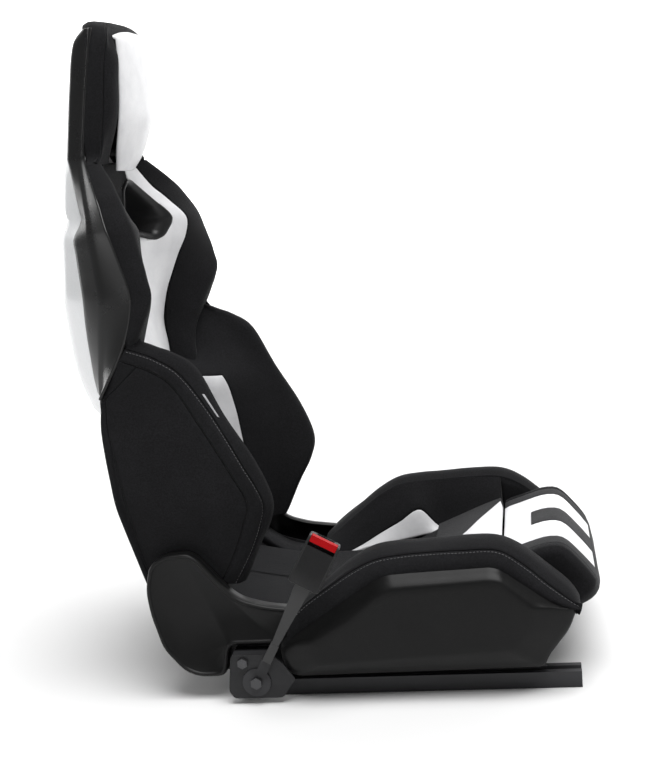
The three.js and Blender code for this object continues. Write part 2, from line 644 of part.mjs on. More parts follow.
function upperPad() {
  return loftZ([445, 530, 600, 672, 702, 731, 770, 800], (z) => {
    const [flankX, flankY] = [wingInnerX(z) - 2, wingInnerY(z) - 2];
    const back = rearX(z) + PAD_BACK;
    const flankBack = Math.max(flankX - 26, back);
    return bothSides([[bibX(z), 52], [flankX, flankY], [flankBack, flankY], [back, 80]]);
  });
}

function backBolster() {
  const heights = [160, 210, 262, 303, 352, 400, 421, 450, 487, 513, 541];
  const body = loftZ(heights, (z) => {
    const half = halfWidth(z);
    const crest = bolsterCrestX(z);
    const pocket = pocketX(z);
    const baseY = bolsterBaseY(z);
    return [[bolsterRearX(z), half - 2], [bolsterStitchX(z), half - 2], [crest - 1, half - 13],
      [crest, half - 22], [crest - 8, half - 42], [bolsterFootX(z), 172], [bolsterBaseX(z), baseY],
      [pocket, baseY], [pocket - 1, 214], [bolsterRearX(z) + 1, 215]];
  });
  const clearance = barY(DISC_R + 10, HINGE.x, HINGE.z, 130, 270, 24);
  return toSolid(body).subtract(toSolid(clearance));
}

function shoulderWing() {
  const heights = [470, 515, 550, 590, 612, 650, 702, 731, 770, 798];
  const body = loftZ(heights, (z) => {
    const [edgeX, half] = [shellEdgeX(z), halfWidth(z)];
    const [frontX, frontY] = [wingFrontX(z), wingFrontY(z)];
    const [innerX, innerY] = [wingInnerX(z), wingInnerY(z)];
    const backX = z < MEMBER_TOP ? Math.max(edgeX - 14, -288) : edgeX - 14;
    return [[edgeX + 2, half - 1], [(edgeX + frontX) / 2, Math.max(frontY, half - 2)], [frontX, frontY],
      [(frontX + innerX) / 2 + 3, (frontY + innerY) / 2], [innerX, innerY],
      [Math.min(innerX - 6, backX), innerY], [backX + 1, Math.min(197, half - 30)], [backX, half - 24],
      [edgeX + 2, half - 6]];
  });
  const below = [[-330, 440], [-150, 440], [-150, 545], [-256, 548], [-268, 546], [-316, 466], [-330, 466]];
  return toSolid(body).subtract(toSolid(alongY(outline(below), 130, 270)));
}

function headSurround() {
  const body = loftZ([803, 812, 824, 840, 880, 897, 960, 1001], (z) => {
    const half = halfWidth(z);
    const back = Math.min(rearX(z) + PAD_BACK, headSeamX(z) - 12);
    return bothSides([[HEAD_RECESS_X, 101], [headPadSeamX(z), 103], [headSeamX(z), half - 6],
      [shellEdgeX(z) + 2, half - 1], [shellEdgeX(z) + 2, half - 6], [back, half - 26]]);
  });
  const cap = [[-298, 998], [-284, 997], [-276, 1002], [-287, 1010], [-303, 1014], [-327, 1017],
    [-336, 1013], [-339, 1004], [-300, 1004]];
  return toSolid(body).add(toSolid(alongY(outline(cap, 3), -120, 120)));
}

function headPad() {
  const side = [[-297, 784], [-286, 784], [-276, 828], [-271, 862], [-271, 948], [-274, 986],
    [-281, 996], [-297, 996]];
  return alongY(outline(side, 4), -HEAD_PAD_HALF, HEAD_PAD_HALF, 3, 2);
}

function bolsterTag() {
  const corners = [[-172, 467], [-150, 427], [-145, 430], [-167, 470]];
  return alongY(outline(corners), 257, 257.8);
}

add('lumbar_pad', 'blackFabric', lumbarPad());
add('upper_back_pad', 'whiteLeather', withHarnessHoles(toSolid(upperPad()), 0.5));
addPair('back_bolster', 'blackFabric', backBolster());
addPair('shoulder_wing', 'blackFabric', shoulderWing());
add('head_surround', 'blackFabric', headSurround());
add('head_pad', 'whiteLeather', headPad());
addRight('bolster_tag', 'greyFabric', bolsterTag());

export default seat;
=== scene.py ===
"""Reclining sports seat: upholstery, plastics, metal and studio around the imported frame.

Metres, +X to the front of the seat, +Y to its left, +Z up. R is the -Y side and L the +Y side.
Profile tables below are in millimetres and are scaled by MM when a mesh is made.
"""

import json
import math

import bmesh
import bpy
import numpy as np
from mathutils import Matrix, Vector


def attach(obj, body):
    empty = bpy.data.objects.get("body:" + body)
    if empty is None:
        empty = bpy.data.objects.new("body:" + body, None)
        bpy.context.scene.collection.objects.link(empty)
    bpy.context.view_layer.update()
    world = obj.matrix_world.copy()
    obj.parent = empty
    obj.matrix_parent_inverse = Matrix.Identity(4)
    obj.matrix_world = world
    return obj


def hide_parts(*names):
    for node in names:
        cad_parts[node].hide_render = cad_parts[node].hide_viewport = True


MM = 0.001
SIDES = {"R": -1, "L": 1}

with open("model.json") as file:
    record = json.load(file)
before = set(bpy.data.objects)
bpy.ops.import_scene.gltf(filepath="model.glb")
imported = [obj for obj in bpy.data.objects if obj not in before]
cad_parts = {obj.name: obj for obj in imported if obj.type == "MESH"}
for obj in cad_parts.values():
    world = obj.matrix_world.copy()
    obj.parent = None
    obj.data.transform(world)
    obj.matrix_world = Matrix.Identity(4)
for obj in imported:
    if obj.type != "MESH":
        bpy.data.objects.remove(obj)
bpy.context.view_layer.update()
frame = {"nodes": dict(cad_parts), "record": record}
scene = bpy.context.scene

# ---------------- camera

camera_data = bpy.data.cameras.new("camera")
camera_data.lens = 71.6
camera_data.sensor_width = 36
camera_data.clip_start = 0.05
camera_data.clip_end = 60
camera = bpy.data.objects.new("camera", camera_data)
scene.collection.objects.link(camera)
CAMERA_RIGHT = Vector((0.99024, 0.11915, -0.07229))
CAMERA_UP = Vector((0.05198, 0.16553, 0.98483))
CAMERA_BACK = Vector((0.12931, -0.97898, 0.15772))
CAMERA_PLACE = (0.3147, -2.3729, 0.8132)
turn = Matrix((CAMERA_RIGHT, CAMERA_UP, CAMERA_BACK)).transposed()
camera.matrix_world = Matrix.Translation(CAMERA_PLACE) @ turn.to_4x4()
scene.camera = camera

# ---------------- materials


class Nodes:
    """Short calls for building one node tree."""

    def __init__(self, material):
        material.use_nodes = True
        self.tree = material.node_tree
        self.shader = self.tree.nodes["Principled BSDF"]
        self.place = self.new("ShaderNodeTexCoord").outputs["Object"]

    def new(self, kind, **settings):
        node = self.tree.nodes.new(kind)
        for key, value in settings.items():
            setattr(node, key, value)
        return node

    def join(self, source, target):
        self.tree.links.new(source, target)

    def math(self, operation, first, second=0.0, third=0.0):
        node = self.new("ShaderNodeMath", operation=operation)
        for socket, value in zip(node.inputs, (first, second, third)):
            if isinstance(value, (int, float)):
                socket.default_value = value
            else:
                self.join(value, socket)
        return node.outputs[0]

    def noise(self, scale, detail=3.0, rough=0.55, stretch=None):
        place = self.place
        if stretch:
            mapping = self.new("ShaderNodeMapping")
            mapping.inputs["Scale"].default_value = stretch
            self.join(place, mapping.inputs["Vector"])
            place = mapping.outputs["Vector"]
        node = self.new("ShaderNodeTexNoise")
        node.inputs["Scale"].default_value = scale
        node.inputs["Detail"].default_value = detail
        node.inputs["Roughness"].default_value = rough
        self.join(place, node.inputs["Vector"])
        return node.outputs["Fac"]

    def cells(self, scale):
        node = self.new("ShaderNodeTexVoronoi")
        node.inputs["Scale"].default_value = scale
        self.join(self.place, node.inputs["Vector"])
        return node.outputs["Distance"]

    def spread(self, value, low, high, new_low, new_high):
        node = self.new("ShaderNodeMapRange")
        for end, number in (("From Min", low), ("From Max", high), ("To Min", new_low), ("To Max", new_high)):
            node.inputs[end].default_value = number
        self.join(value, node.inputs["Value"])
        return node.outputs["Result"]

    def tint(self, factor, first, second):
        node = self.new("ShaderNodeMix", data_type="RGBA")
        self.join(factor, node.inputs["Factor"])
        for socket, value in ((node.inputs["A"], first), (node.inputs["B"], second)):
            if isinstance(value, tuple):
                socket.default_value = (*value, 1.0)
            else:
                self.join(value, socket)
        return node.outputs["Result"]

    def bump(self, height, distance, strength, under=None):
        node = self.new("ShaderNodeBump")
        node.inputs["Strength"].default_value = strength
        node.inputs["Distance"].default_value = distance
        self.join(height, node.inputs["Height"])
        if under:
            self.join(under, node.inputs["Normal"])
        return node.outputs["Normal"]

    def edges(self, low, high):
        """0 on flats and 1 on sharp outer edges."""
        pointed = self.new("ShaderNodeNewGeometry").outputs["Pointiness"]
        return self.spread(pointed, low, high, 0.0, 1.0)

    def weave(self, pitch):
        """Plain weave height, blended between the three axis planes by the way a face looks."""
        split = self.new("ShaderNodeSeparateXYZ")
        self.join(self.place, split.inputs[0])
        facing = self.new("ShaderNodeSeparateXYZ")
        self.join(self.new("ShaderNodeTexCoord").outputs["Normal"], facing.inputs[0])
        rate = 2 * math.pi / pitch
        wave = [self.math("SINE", self.math("MULTIPLY", split.outputs[i], rate)) for i in range(3)]
        share = [self.math("MULTIPLY", facing.outputs[i], facing.outputs[i]) for i in range(3)]
        total = 0.0
        for across, one, two in ((0, 1, 2), (1, 0, 2), (2, 0, 1)):
            woven = self.math("MULTIPLY", wave[one], wave[two])
            total = self.math("MULTIPLY_ADD", woven, share[across], total)
        return total

    def finish(self, color=None, rough=None, normal=None, **fixed):
        for name, source in (("Base Color", color), ("Roughness", rough), ("Normal", normal)):
            if source is not None:
                self.join(source, self.shader.inputs[name])
        for name, value in fixed.items():
            self.shader.inputs[name.replace("_", " ")].default_value = value


MATERIALS = {}


def material(name):
    made = bpy.data.materials.new(name)
    MATERIALS[name] = made
    return Nodes(made)


def fabric(name, dark, light, pitch=0.0016, sheen=0.05):
    """Woven seat cloth: threads, slubs, slow wear in tone and a soft sheen."""
    n = material(name)
    threads = n.weave(pitch)
    slubs = n.noise(420.0, 3.0)
    tone = n.noise(9.0, 4.0, 0.6)
    mixed = n.math("MULTIPLY_ADD", threads, 0.22, n.math("MULTIPLY", slubs, 0.9))
    color = n.tint(n.spread(mixed, 0.2, 0.75, 0.0, 1.0), dark, light)
    shade = n.spread(tone, 0.3, 0.7, 0.82, 1.12)
    worn = n.new("ShaderNodeVectorMath", operation="SCALE")
    n.join(color, worn.inputs[0])
    n.join(shade, worn.inputs["Scale"])
    soft = n.bump(n.noise(38.0, 3.0), 0.0012, 0.35)
    normal = n.bump(threads, 0.00022, 0.55, n.bump(slubs, 0.0004, 0.35, soft))
    n.finish(worn.outputs[0], n.spread(slubs, 0.3, 0.7, 0.78, 0.95), normal,
             Sheen_Weight=sheen, Sheen_Roughness=0.42, Specular_IOR_Level=0.08)


def leather(name, dark, light, roughness=(0.36, 0.52)):
    """Coated leather: fine pebbled grain, broad creases and a satin face."""
    n = material(name)
    grain = n.cells(620.0)
    pores = n.noise(1500.0, 2.0)
    creases = n.noise(26.0, 5.0, 0.62)
    height = n.math("MULTIPLY_ADD", pores, 0.3, grain)
    color = n.tint(n.spread(creases, 0.32, 0.68, 0.0, 1.0), dark, light)
    broad = n.bump(creases, 0.0022, 0.22)
    normal = n.bump(height, 0.0004, 0.3, broad)
    n.finish(color, n.spread(grain, 0.1, 0.6, roughness[1], roughness[0]), normal,
             Specular_IOR_Level=0.3, Coat_Weight=0.03, Coat_Roughness=0.35)


def moulded(name, dark, light, roughness=(0.42, 0.6), grain=900.0, depth=0.00012, edge=0.03,
            shine=0.16):
    """Moulded plastic with a fine spark-eroded grain, handling marks and a painted highlight on sharp edges.
    """
    n = material(name)
    speck = n.noise(grain, 2.0)
    marks = n.noise(14.0, 5.0, 0.6)
    color = n.tint(n.spread(speck, 0.35, 0.65, 0.0, 1.0), dark, light)
    # edge sets the strength of a painted highlight that lightens the colour on sharp edges.
    if edge:
        edge_highlight = tuple(min(1.0, c + edge) for c in light)
        color = n.tint(n.math("MULTIPLY", n.edges(0.52, 0.62), 0.5), color, edge_highlight)
    n.finish(color, n.spread(marks, 0.3, 0.7, *roughness), n.bump(speck, depth, 0.5),
             Specular_IOR_Level=shine)


def coated_metal(name, dark, light, roughness=(0.28, 0.45), metallic=0.0, wear=(0.07, 0.07, 0.075)):
    """Coated or plated steel: faint orange peel, rubbed streaks and worn edges."""
    n = material(name)
    peel = n.noise(260.0, 2.0)
    streaks = n.noise(60.0, 5.0, 0.65, (0.15, 1.0, 1.0))
    color = n.tint(n.spread(streaks, 0.3, 0.72, 0.0, 1.0), dark, light)
    color = n.tint(n.math("MULTIPLY", n.edges(0.53, 0.66), 0.55), color, wear)
    normal = n.bump(peel, 0.00012, 0.35, n.bump(streaks, 0.00025, 0.2))
    n.finish(color, n.spread(streaks, 0.3, 0.7, *roughness), normal, Metallic=metallic,
             Specular_IOR_Level=0.2)


def painted_panel(name, dark, light):
    """Lacquered silver panel: fine flake under a clear coat with slight waviness."""
    n = material(name)
    flake = n.cells(1800.0)
    wave = n.noise(12.0, 2.0)
    color = n.tint(n.spread(flake, 0.1, 0.6, 0.0, 1.0), dark, light)
    n.finish(color, n.spread(flake, 0.0, 0.7, 0.24, 0.4), n.bump(wave, 0.0006, 0.12),
             Metallic=0.25, Coat_Weight=0.8, Coat_Roughness=0.08)


def thread(name, dark, light):
    """Twisted sewing thread."""
    n = material(name)
    twist = n.noise(2400.0, 2.0)
    color = n.tint(n.spread(twist, 0.35, 0.65, 0.0, 1.0), dark, light)
    n.finish(color, n.spread(twist, 0.3, 0.7, 0.55, 0.75), n.bump(twist, 0.0002, 0.5),
             Sheen_Weight=0.3)


fabric("black_fabric", (0.0060, 0.0060, 0.0065), (0.0180, 0.0180, 0.0195))
fabric("charcoal_fabric", (0.022, 0.022, 0.023), (0.048, 0.048, 0.050))
fabric("grey_fabric", (0.024, 0.024, 0.025), (0.052, 0.052, 0.054))
fabric("tag_fabric", (0.30, 0.30, 0.31), (0.45, 0.45, 0.46), 0.001, 0.1)
leather("white_leather", (0.72, 0.72, 0.735), (0.81, 0.81, 0.82))
# A darker copy of the white leather: painted shade for the inserts, which sit in shade between the bolsters.
leather("white_leather_painted_shade", (0.50, 0.50, 0.51), (0.60, 0.60, 0.61))
moulded("trim_plastic", (0.0030, 0.0030, 0.0031), (0.0050, 0.0050, 0.0051), (0.34, 0.44), shine=0.2)
moulded("shell_plastic", (0.0060, 0.0060, 0.0062), (0.0095, 0.0095, 0.0098), (0.24, 0.34), shine=0.34)
moulded("bezel_plastic", (0.008, 0.008, 0.0085), (0.013, 0.013, 0.0135), (0.3, 0.42), shine=0.3)
# The buckle housing gets a stronger painted highlight on its sharp edges (edge=0.08).
moulded("buckle_plastic", (0.0075, 0.0075, 0.0078), (0.0125, 0.0125, 0.013), (0.34, 0.5), 1400.0, edge=0.08)
moulded("button_red", (0.32, 0.004, 0.006), (0.42, 0.006, 0.008), (0.45, 0.55), 1600.0, 0.0001, 0.0, 0.05)
coated_metal("rail_steel", (0.0065, 0.0065, 0.0068), (0.0125, 0.0125, 0.013))
coated_metal("frame_steel", (0.010, 0.010, 0.0105), (0.018, 0.018, 0.019))
coated_metal("bracket_steel", (0.0075, 0.0075, 0.0078), (0.014, 0.014, 0.0145))
coated_metal("bright_steel", (0.03, 0.03, 0.031), (0.05, 0.05, 0.051), (0.3, 0.45), 0.8, (0.12, 0.12, 0.125))
painted_panel("silver_panel", (0.66, 0.67, 0.68), (0.80, 0.81, 0.82))
thread("grey_thread", (0.11, 0.11, 0.115), (0.18, 0.18, 0.185))

for sub in frame["record"]["subparts"]:
    node = frame["nodes"][sub["node"]]
    node.data.materials.clear()
    node.data.materials.append(MATERIALS[sub["material_slot"]])

# ---------------- profile tables, in millimetres


def over(pairs):
    """Straight-line table lookup through [position, value] pairs."""
    at, value = np.array(sorted(pairs), float).T
    return lambda t: float(np.interp(t, at, value))


def over_both(points):
    """Lookups of x and of y by height, through [z, x, y] points."""
    return over([(z, x) for z, x, _ in points]), over([(z, y) for z, _, y in points])


rear_x = over([(420, -352), (433, -365), (503, -386), (605, -396), (697, -392), (781, -388),
               (885, -372), (973, -354), (1002, -338)])
shell_x = over([(464, -313), (518, -280), (556, -261), (585, -254), (616, -250), (686, -273),
                (746, -297), (801, -328), (824, -335), (897, -326), (1002, -308)])
half_y = over([(160, 222), (215, 226), (300, 250), (400, 258), (464, 253), (541, 255), (632, 254),
               (690, 246), (710, 240), (750, 212), (790, 164), (812, 134), (900, 132), (1002, 125)])
facet_x, facet_y = over_both([(473, -318, 224), (563, -306, 232), (607, -299, 234), (711, -316, 211),
                              (812, -345, 127), (1002, -318, 118)])
panel_x = over([(420, -316), (470, -331), (561, -337), (606, -337), (693, -349), (721, -338),
                (812, -366), (899, -356), (980, -345), (1002, -326)])
panel_y = over([(420, 185), (470, 201), (561, 204), (606, 204), (693, 182), (721, 168),
                (812, 115), (899, 110), (1002, 105)])
lower_rear_x = over([(160, -268), (210, -282), (302, -297), (394, -310), (464, -317)])
wing_front_x, wing_front_y = over_both([
    (432, -264, 171), (464, -262, 177), (505, -264, 190), (550, -247, 208), (590, -229, 232),
    (610, -223, 243), (650, -231, 244), (710, -250, 232), (750, -270, 204), (790, -297, 154),
    (800, -309, 142)])
wing_inner_x = over([(445, -298), (530, -307), (575, -298), (625, -279), (672, -256), (702, -253),
                     (731, -277), (770, -311), (800, -325)])
wing_inner_y = over([(445, 164), (672, 171), (702, 171), (731, 163), (770, 135), (800, 114)])
bib_x = over([(445, -283), (500, -300), (600, -325), (700, -338), (800, -330)])
lumbar_x = over([(140, -172), (165, -178), (250, -205), (330, -225), (400, -255), (442, -281)])
head_seam_x = over([(803, -311), (880, -300), (967, -291), (1001, -283)])
head_pad_seam_x = over([(803, -297), (840, -293), (879, -281), (953, -274), (1001, -268)])

TRIM_OUTLINE = [(310, 42), (318, 60), (348, 97), (358, 122), (357, 132), (335, 137), (254, 198),
                (240, 202), (89, 196), (74, 190), (5, 148), (-68, 97), (-75, 86), (-73, 68),
                (-66, 46), (-50, 38)]
TRIM_FACE = [(262, 77), (276, 87), (291, 106), (296, 120), (297, 135), (290, 144), (253, 178),
             (239, 180), (93, 172), (74, 162), (35, 131), (-21, 99), (-26, 92), (-24, 80),
             (-19, 70), (-13, 63)]
COVER_OUTLINE = [(-201, 36), (-160, 36), (-152, 84), (-82, 84), (-72, 98), (-45, 119), (-20, 133),
                 (-66, 139), (-95, 143), (-125, 152), (-139, 160), (-157, 178), (-187, 215), (-204, 227),
                 (-242, 224), (-264, 209), (-272, 171), (-268, 135), (-253, 80), (-223, 45)]
HARNESS_HOLE = [(62, 690), (62, 757), (76, 771), (92, 769), (142, 724), (150, 708), (149, 694),
                (138, 674), (124, 668)]

# ---------------- surfaces


def tangents(points, positions):
    """Slopes of a smooth curve through points at increasing positions."""
    step = np.diff(positions)[:, None]
    slope = np.diff(points, axis=0) / step
    inner = (slope[:-1] * step[1:] + slope[1:] * step[:-1]) / (step[1:] + step[:-1])
    return np.vstack([slope[:1], inner, slope[-1:]])


def smooth(points, positions, wanted):
    """Points of the smooth curve through the given ones, at the wanted positions."""
    points, positions, wanted = np.array(points, float), np.array(positions, float), np.array(wanted, float)
    slope = tangents(points, positions)
    i = np.clip(np.searchsorted(positions, wanted, side="right") - 1, 0, len(positions) - 2)
    width = (positions[i + 1] - positions[i])[:, None]
    t = ((wanted - positions[i])[:, None]) / width
    return ((2 * t**3 - 3 * t**2 + 1) * points[i] + (t**3 - 2 * t**2 + t) * width * slope[i]
            + (3 * t**2 - 2 * t**3) * points[i + 1] + (t**3 - t**2) * width * slope[i + 1])


EDGE_STEPS = [0.5, 1.2, 2.2, 3.4, 4.6, 6.6]  # mm from a seam: the roll of the edge and the stitch row
STITCH_AT = 4.6
EDGE_SHARE = 0.42  # most of a net interval that the fine lines beside one seam take up


def lines(lengths, seams, step):
    """Grid line positions, in units of the net, with fine lines beside each seam.

    lengths holds the mean length of each net interval in mm. Also returns {seam: line index} of the
    stitch row before each seam."""
    places, rows = [], {}
    for k, length in enumerate(lengths):
        fine = [d for d in EDGE_STEPS if d < EDGE_SHARE * length]
        fine_low = fine if k in seams else []
        fine_high = fine if k + 1 in seams else []
        low = fine_low[-1] if fine_low else 0.0
        high = length - (fine_high[-1] if fine_high else 0.0)
        count = max(1, round((high - low) / step))
        between = list(np.linspace(low, high, count + 1))
        line = [0.0] + fine_low[:-1] + (between if fine_low else between[1:])
        for d in line[:-1] + [length - d for d in reversed(fine_high)]:
            if k + 1 in seams and abs(length - d - STITCH_AT) < 1e-6:
                rows[k + 1] = len(places)
            places.append(k + d / length)
    places.append(float(len(lengths)))
    return np.array(places), rows


def unit(v):
    return v / np.maximum(np.linalg.norm(v, axis=-1, keepdims=True), 1e-12)


SHORTEST_INTERVAL = 0.5  # mm, so that a net interval that closes to nothing still has a length


class Surface:
    """A grid through a net of points: net[u][v] is (x, y, z) in millimetres."""

    def __init__(self, net, out, seam_u=(), seam_v=(), step=7.0, side=1):
        net = np.array(net, float) * [1, side, 1]
        out = np.array(out, float) * [1, side, 1]
        count_u, count_v = net.shape[:2]
        length_u = np.linalg.norm(np.diff(net, axis=0), axis=2).mean(axis=1)
        length_v = np.linalg.norm(np.diff(net, axis=1), axis=2).mean(axis=0)
        self.u, self.stitch_rows = lines(np.maximum(length_u, SHORTEST_INTERVAL), set(seam_u), step)
        self.v, _ = lines(np.maximum(length_v, SHORTEST_INTERVAL), set(seam_v), step)
        along = np.array([smooth(row, range(count_v), self.v) for row in net])
        grid = np.array([smooth(along[:, j], range(count_u), self.u) for j in range(len(self.v))])
        self.grid = np.transpose(grid, (1, 0, 2))
        normal = np.cross(np.gradient(self.grid, axis=0), np.gradient(self.grid, axis=1))
        middle = normal[len(self.u) // 2, len(self.v) // 2]
        self.normal = unit(-normal if np.dot(middle, out) < 0 else normal)

    def cells(self, inside):
        """Marks the grid cells whose middle, in net units, passes the test."""
        mid_u, mid_v = (self.u[1:] + self.u[:-1]) / 2, (self.v[1:] + self.v[:-1]) / 2
        return np.array([[bool(inside(a, b)) for b in mid_v] for a in mid_u])


SEGMENT_BATCH = 1500  # points measured at a time, to keep memory low


def to_segments(points, starts, ends):
    """Distance of each point to the nearest of the segments."""
    best = np.full(len(points), 1e9)
    d = ends - starts
    for begin in range(0, len(points), SEGMENT_BATCH):
        p = points[begin:begin + SEGMENT_BATCH, None, :]
        t = np.clip(((p - starts) * d).sum(-1) / np.maximum((d * d).sum(-1), 1e-12), 0, 1)
        gap = np.linalg.norm(p - starts - t[..., None] * d, axis=-1)
        best[begin:begin + SEGMENT_BATCH] = gap.min(axis=1)
    return best


def ripple(points):
    """Slow unevenness of stuffed cloth, from -1 to 1."""
    x, y, z = points.T
    return (np.sin(x * 0.041 + 1.3 * np.sin(z * 0.023)) + np.sin(y * 0.037 + 1.1 * np.sin(x * 0.029) + 2.0)
            + np.sin(z * 0.033 + 0.9 * np.sin(y * 0.031) + 4.0)) / 3


def new_object(name, points, faces, look):
    mesh = bpy.data.meshes.new(name)
    mesh.from_pydata([tuple(p * MM) for p in points], [], faces)
    mesh.update()
    mesh.materials.append(MATERIALS[look])
    mesh.shade_smooth()
    made = bpy.data.objects.new(name, mesh)
    scene.collection.objects.link(made)
    return made


def tidy_normals(made):
    work = bmesh.new()
    work.from_mesh(made.data)
    bmesh.ops.recalc_face_normals(work, faces=work.faces)
    work.to_mesh(made.data)
    work.free()


def borders_of(cells, soft):
    """Edges round the chosen cells, as pairs of grid points, and those of them that carry a seam."""
    nu, nv = cells.shape[0] + 1, cells.shape[1] + 1
    framed = np.zeros((nu + 1, nv + 1), bool)
    framed[1:-1, 1:-1] = cells
    borders, seamed = [], []
    for i in range(nu):
        for j in range(nv):
            if j < nv - 1 and framed[i, j + 1] != framed[i + 1, j + 1]:
                borders.append(((i, j), (i, j + 1)))
                if not ((i == 0 and "u0" in soft) or (i == nu - 1 and "u1" in soft)):
                    seamed.append(borders[-1])
            if i < nu - 1 and framed[i + 1, j] != framed[i + 1, j + 1]:
                borders.append(((i, j), (i + 1, j)))
                if not ((j == 0 and "v0" in soft) or (j == nv - 1 and "v1" in soft)):
                    seamed.append(borders[-1])
    return borders, seamed


EVEN_BY_SEAM = 10  # mm from a seam over which the unevenness sets in


def pad(name, surface, body, look, replaced, slot=None, inside=lambda u, v: True, crown=3.0, roll=2.6,
        deep=2.6, thick=10.0, soft=(), grooves=(), uneven=0.5, fill=0.8, reach=18.0, padded=True):
    """One upholstery piece: the chosen cells of a surface as a closed, crowned form with rolled edges.

    replaced is the node that it stands in for. slot is not used. soft names
    borders ("u0", "u1", "v0", "v1") that run on into a neighbour without a seam. grooves are sewn
    channels across v: (net position, depth, width). Returns the object and its shown points."""
    nu, nv = len(surface.u), len(surface.v)
    cells = surface.cells(inside)
    used = np.zeros((nu, nv), bool)
    for di in (0, 1):
        for dj in (0, 1):
            used[di:nu - 1 + di, dj:nv - 1 + dj] |= cells
    borders, seamed = borders_of(cells, soft)
    number = -np.ones((nu, nv), int)
    number[used] = range(int(used.sum()))
    base, normal = surface.grid[used], surface.normal[used]
    lift = uneven * ripple(base)
    if seamed:
        starts = np.array([surface.grid[a] for a, _ in seamed])
        ends = np.array([surface.grid[b] for _, b in seamed])
        gap = to_segments(base, starts, ends)
        lift *= 1 - np.exp(-gap / EVEN_BY_SEAM)
        t = np.clip(1 - gap / roll, 0, 1)
        lift += crown * (1 - np.exp(-gap / reach)) - deep * (1 - np.sqrt(np.maximum(1 - t * t, 0)))
    for at, depth, width in grooves:
        row = surface.grid[:, int(np.argmin(abs(surface.v - at)))]
        gap = to_segments(base, row[:-1], row[1:])
        lift -= depth * np.exp(-((gap / width) ** 2))
    top = base + normal * lift[:, None]
    under = base - normal * (deep + thick)
    total = len(top)
    faces = []
    for i, j in np.argwhere(cells):
        ring = [number[i, j], number[i + 1, j], number[i + 1, j + 1], number[i, j + 1]]
        faces.append(ring)
        faces.append([total + k for k in reversed(ring)])
    for a, b in borders:
        faces.append([number[a], number[b], total + number[b], total + number[a]])
    made = new_object(name, np.vstack([top, under]), faces, look)
    tidy_normals(made)
    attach(made, body)
    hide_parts(replaced)
    shown = surface.grid.copy()
    shown[used] = top
    return made, shown


def tube_faces(rings, count, first=0, wrap=False):
    """Faces through rings of count points each, with flat ends unless the last ring joins the first."""
    faces = []
    for r in range(rings if wrap else rings - 1):
        low, high = first + r * count, first + (r + 1) % rings * count
        for a in range(count):
            b = (a + 1) % count
            faces.append([low + a, low + b, high + b, high + a])
    if not wrap:
        last = first + (rings - 1) * count
        faces.append([first + a for a in reversed(range(count))])
        faces.append([last + a for a in range(count)])
    return faces


# ---------------- stitches

STITCHES = {}
STITCH_PITCH = 5.2
STITCH_LENGTH = 3.7
THREAD_RADIUS = 0.3
THREAD_SINK = 0.1
THREAD_SIDES = 6
# Rings of one stitch, which dips into the cloth at its ends: share of its length, swell and rise.
THREAD_RINGS = [(0.0, 0.35, -0.55), (0.22, 0.95, 0.1), (0.5, 1.05, 0.3), (0.78, 0.95, 0.1),
                (1.0, 0.35, -0.55)]


def stitch_before(surface, shown, body, seam):
    """Separate stitches on the row of a surface just before a seam."""
    row = surface.stitch_rows[seam]
    points, normals = shown[row], surface.normal[row]
    gap = np.linalg.norm(np.diff(points, axis=0), axis=1)
    position = np.concatenate([[0], np.cumsum(gap)])
    keep = np.concatenate([[True], gap > 1e-6])
    points, normals, position = points[keep], normals[keep], position[keep]

    def between(values, at):
        return np.array([np.interp(at, position, values[:, i]) for i in range(3)])

    corners, faces = STITCHES.setdefault(body, ([], []))
    for k in range(int(position[-1] / STITCH_PITCH)):
        middle = (k + 0.5) * STITCH_PITCH
        start, end = (between(points, middle + s * STITCH_LENGTH / 2) for s in (-1, 1))
        up = unit(between(normals, middle))
        side = np.cross(up, unit(end - start))
        faces.extend(tube_faces(len(THREAD_RINGS), THREAD_SIDES, len(corners)))
        for t, swell, rise in THREAD_RINGS:
            lifted = rise * THREAD_RADIUS + THREAD_RADIUS * 0.4 - THREAD_SINK
            centre = start + (end - start) * t + up * lifted
            for a in range(THREAD_SIDES):
                angle = a * math.pi / 3
                around = math.cos(angle) * side + math.sin(angle) * up
                corners.append(centre + THREAD_RADIUS * swell * around)


def sew():
    """Makes one object of all the stitches of each body."""
    for body, (points, faces) in STITCHES.items():
        made = new_object(f"stitching_{body}_grey_thread", np.array(points), faces, "grey_thread")
        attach(made, body)


# ---------------- hard pieces


CORNER_POINTS = 6


def rounded(corners, radius):
    """Loop with each corner rounded by up to the radius, with the same number of points at each corner."""
    corners = np.array(corners, float)
    loop = []
    for i, corner in enumerate(corners):
        before, after = corners[i - 1], corners[(i + 1) % len(corners)]
        cut = min(radius, 0.45 * np.linalg.norm(before - corner), 0.45 * np.linalg.norm(after - corner))
        start, end = corner + unit(before - corner) * cut, corner + unit(after - corner) * cut
        for t in np.linspace(0, 1, CORNER_POINTS):
            loop.append((1 - t) ** 2 * start + 2 * t * (1 - t) * corner + t * t * end)
    return np.array(loop)


def shrunk(corners, wall):
    """Corners of a loop moved inwards by a wall thickness."""
    corners = np.array(corners, float)
    area = np.sum(corners[:, 0] * np.roll(corners[:, 1], -1) - corners[:, 1] * np.roll(corners[:, 0], -1))
    sign = 1 if area > 0 else -1
    moved = []
    for i, at in enumerate(corners):
        d0, d1 = unit(at - corners[i - 1]), unit(corners[(i + 1) % len(corners)] - at)
        n0, n1 = sign * np.array([-d0[1], d0[0]]), sign * np.array([-d1[1], d1[0]])
        mitre = unit(n0 + n1)
        moved.append(at + mitre * wall / max(0.5, float(mitre @ n1)))
    return np.array(moved)


def outline_ring(corners, inwards, radius, letter, y):
    """Ring at one y: an (x, z) outline moved inwards, with rounded corners."""
    loop = rounded(shrunk(corners, inwards), radius)
    return np.array([(x, SIDES[letter] * y, z) for x, z in loop])


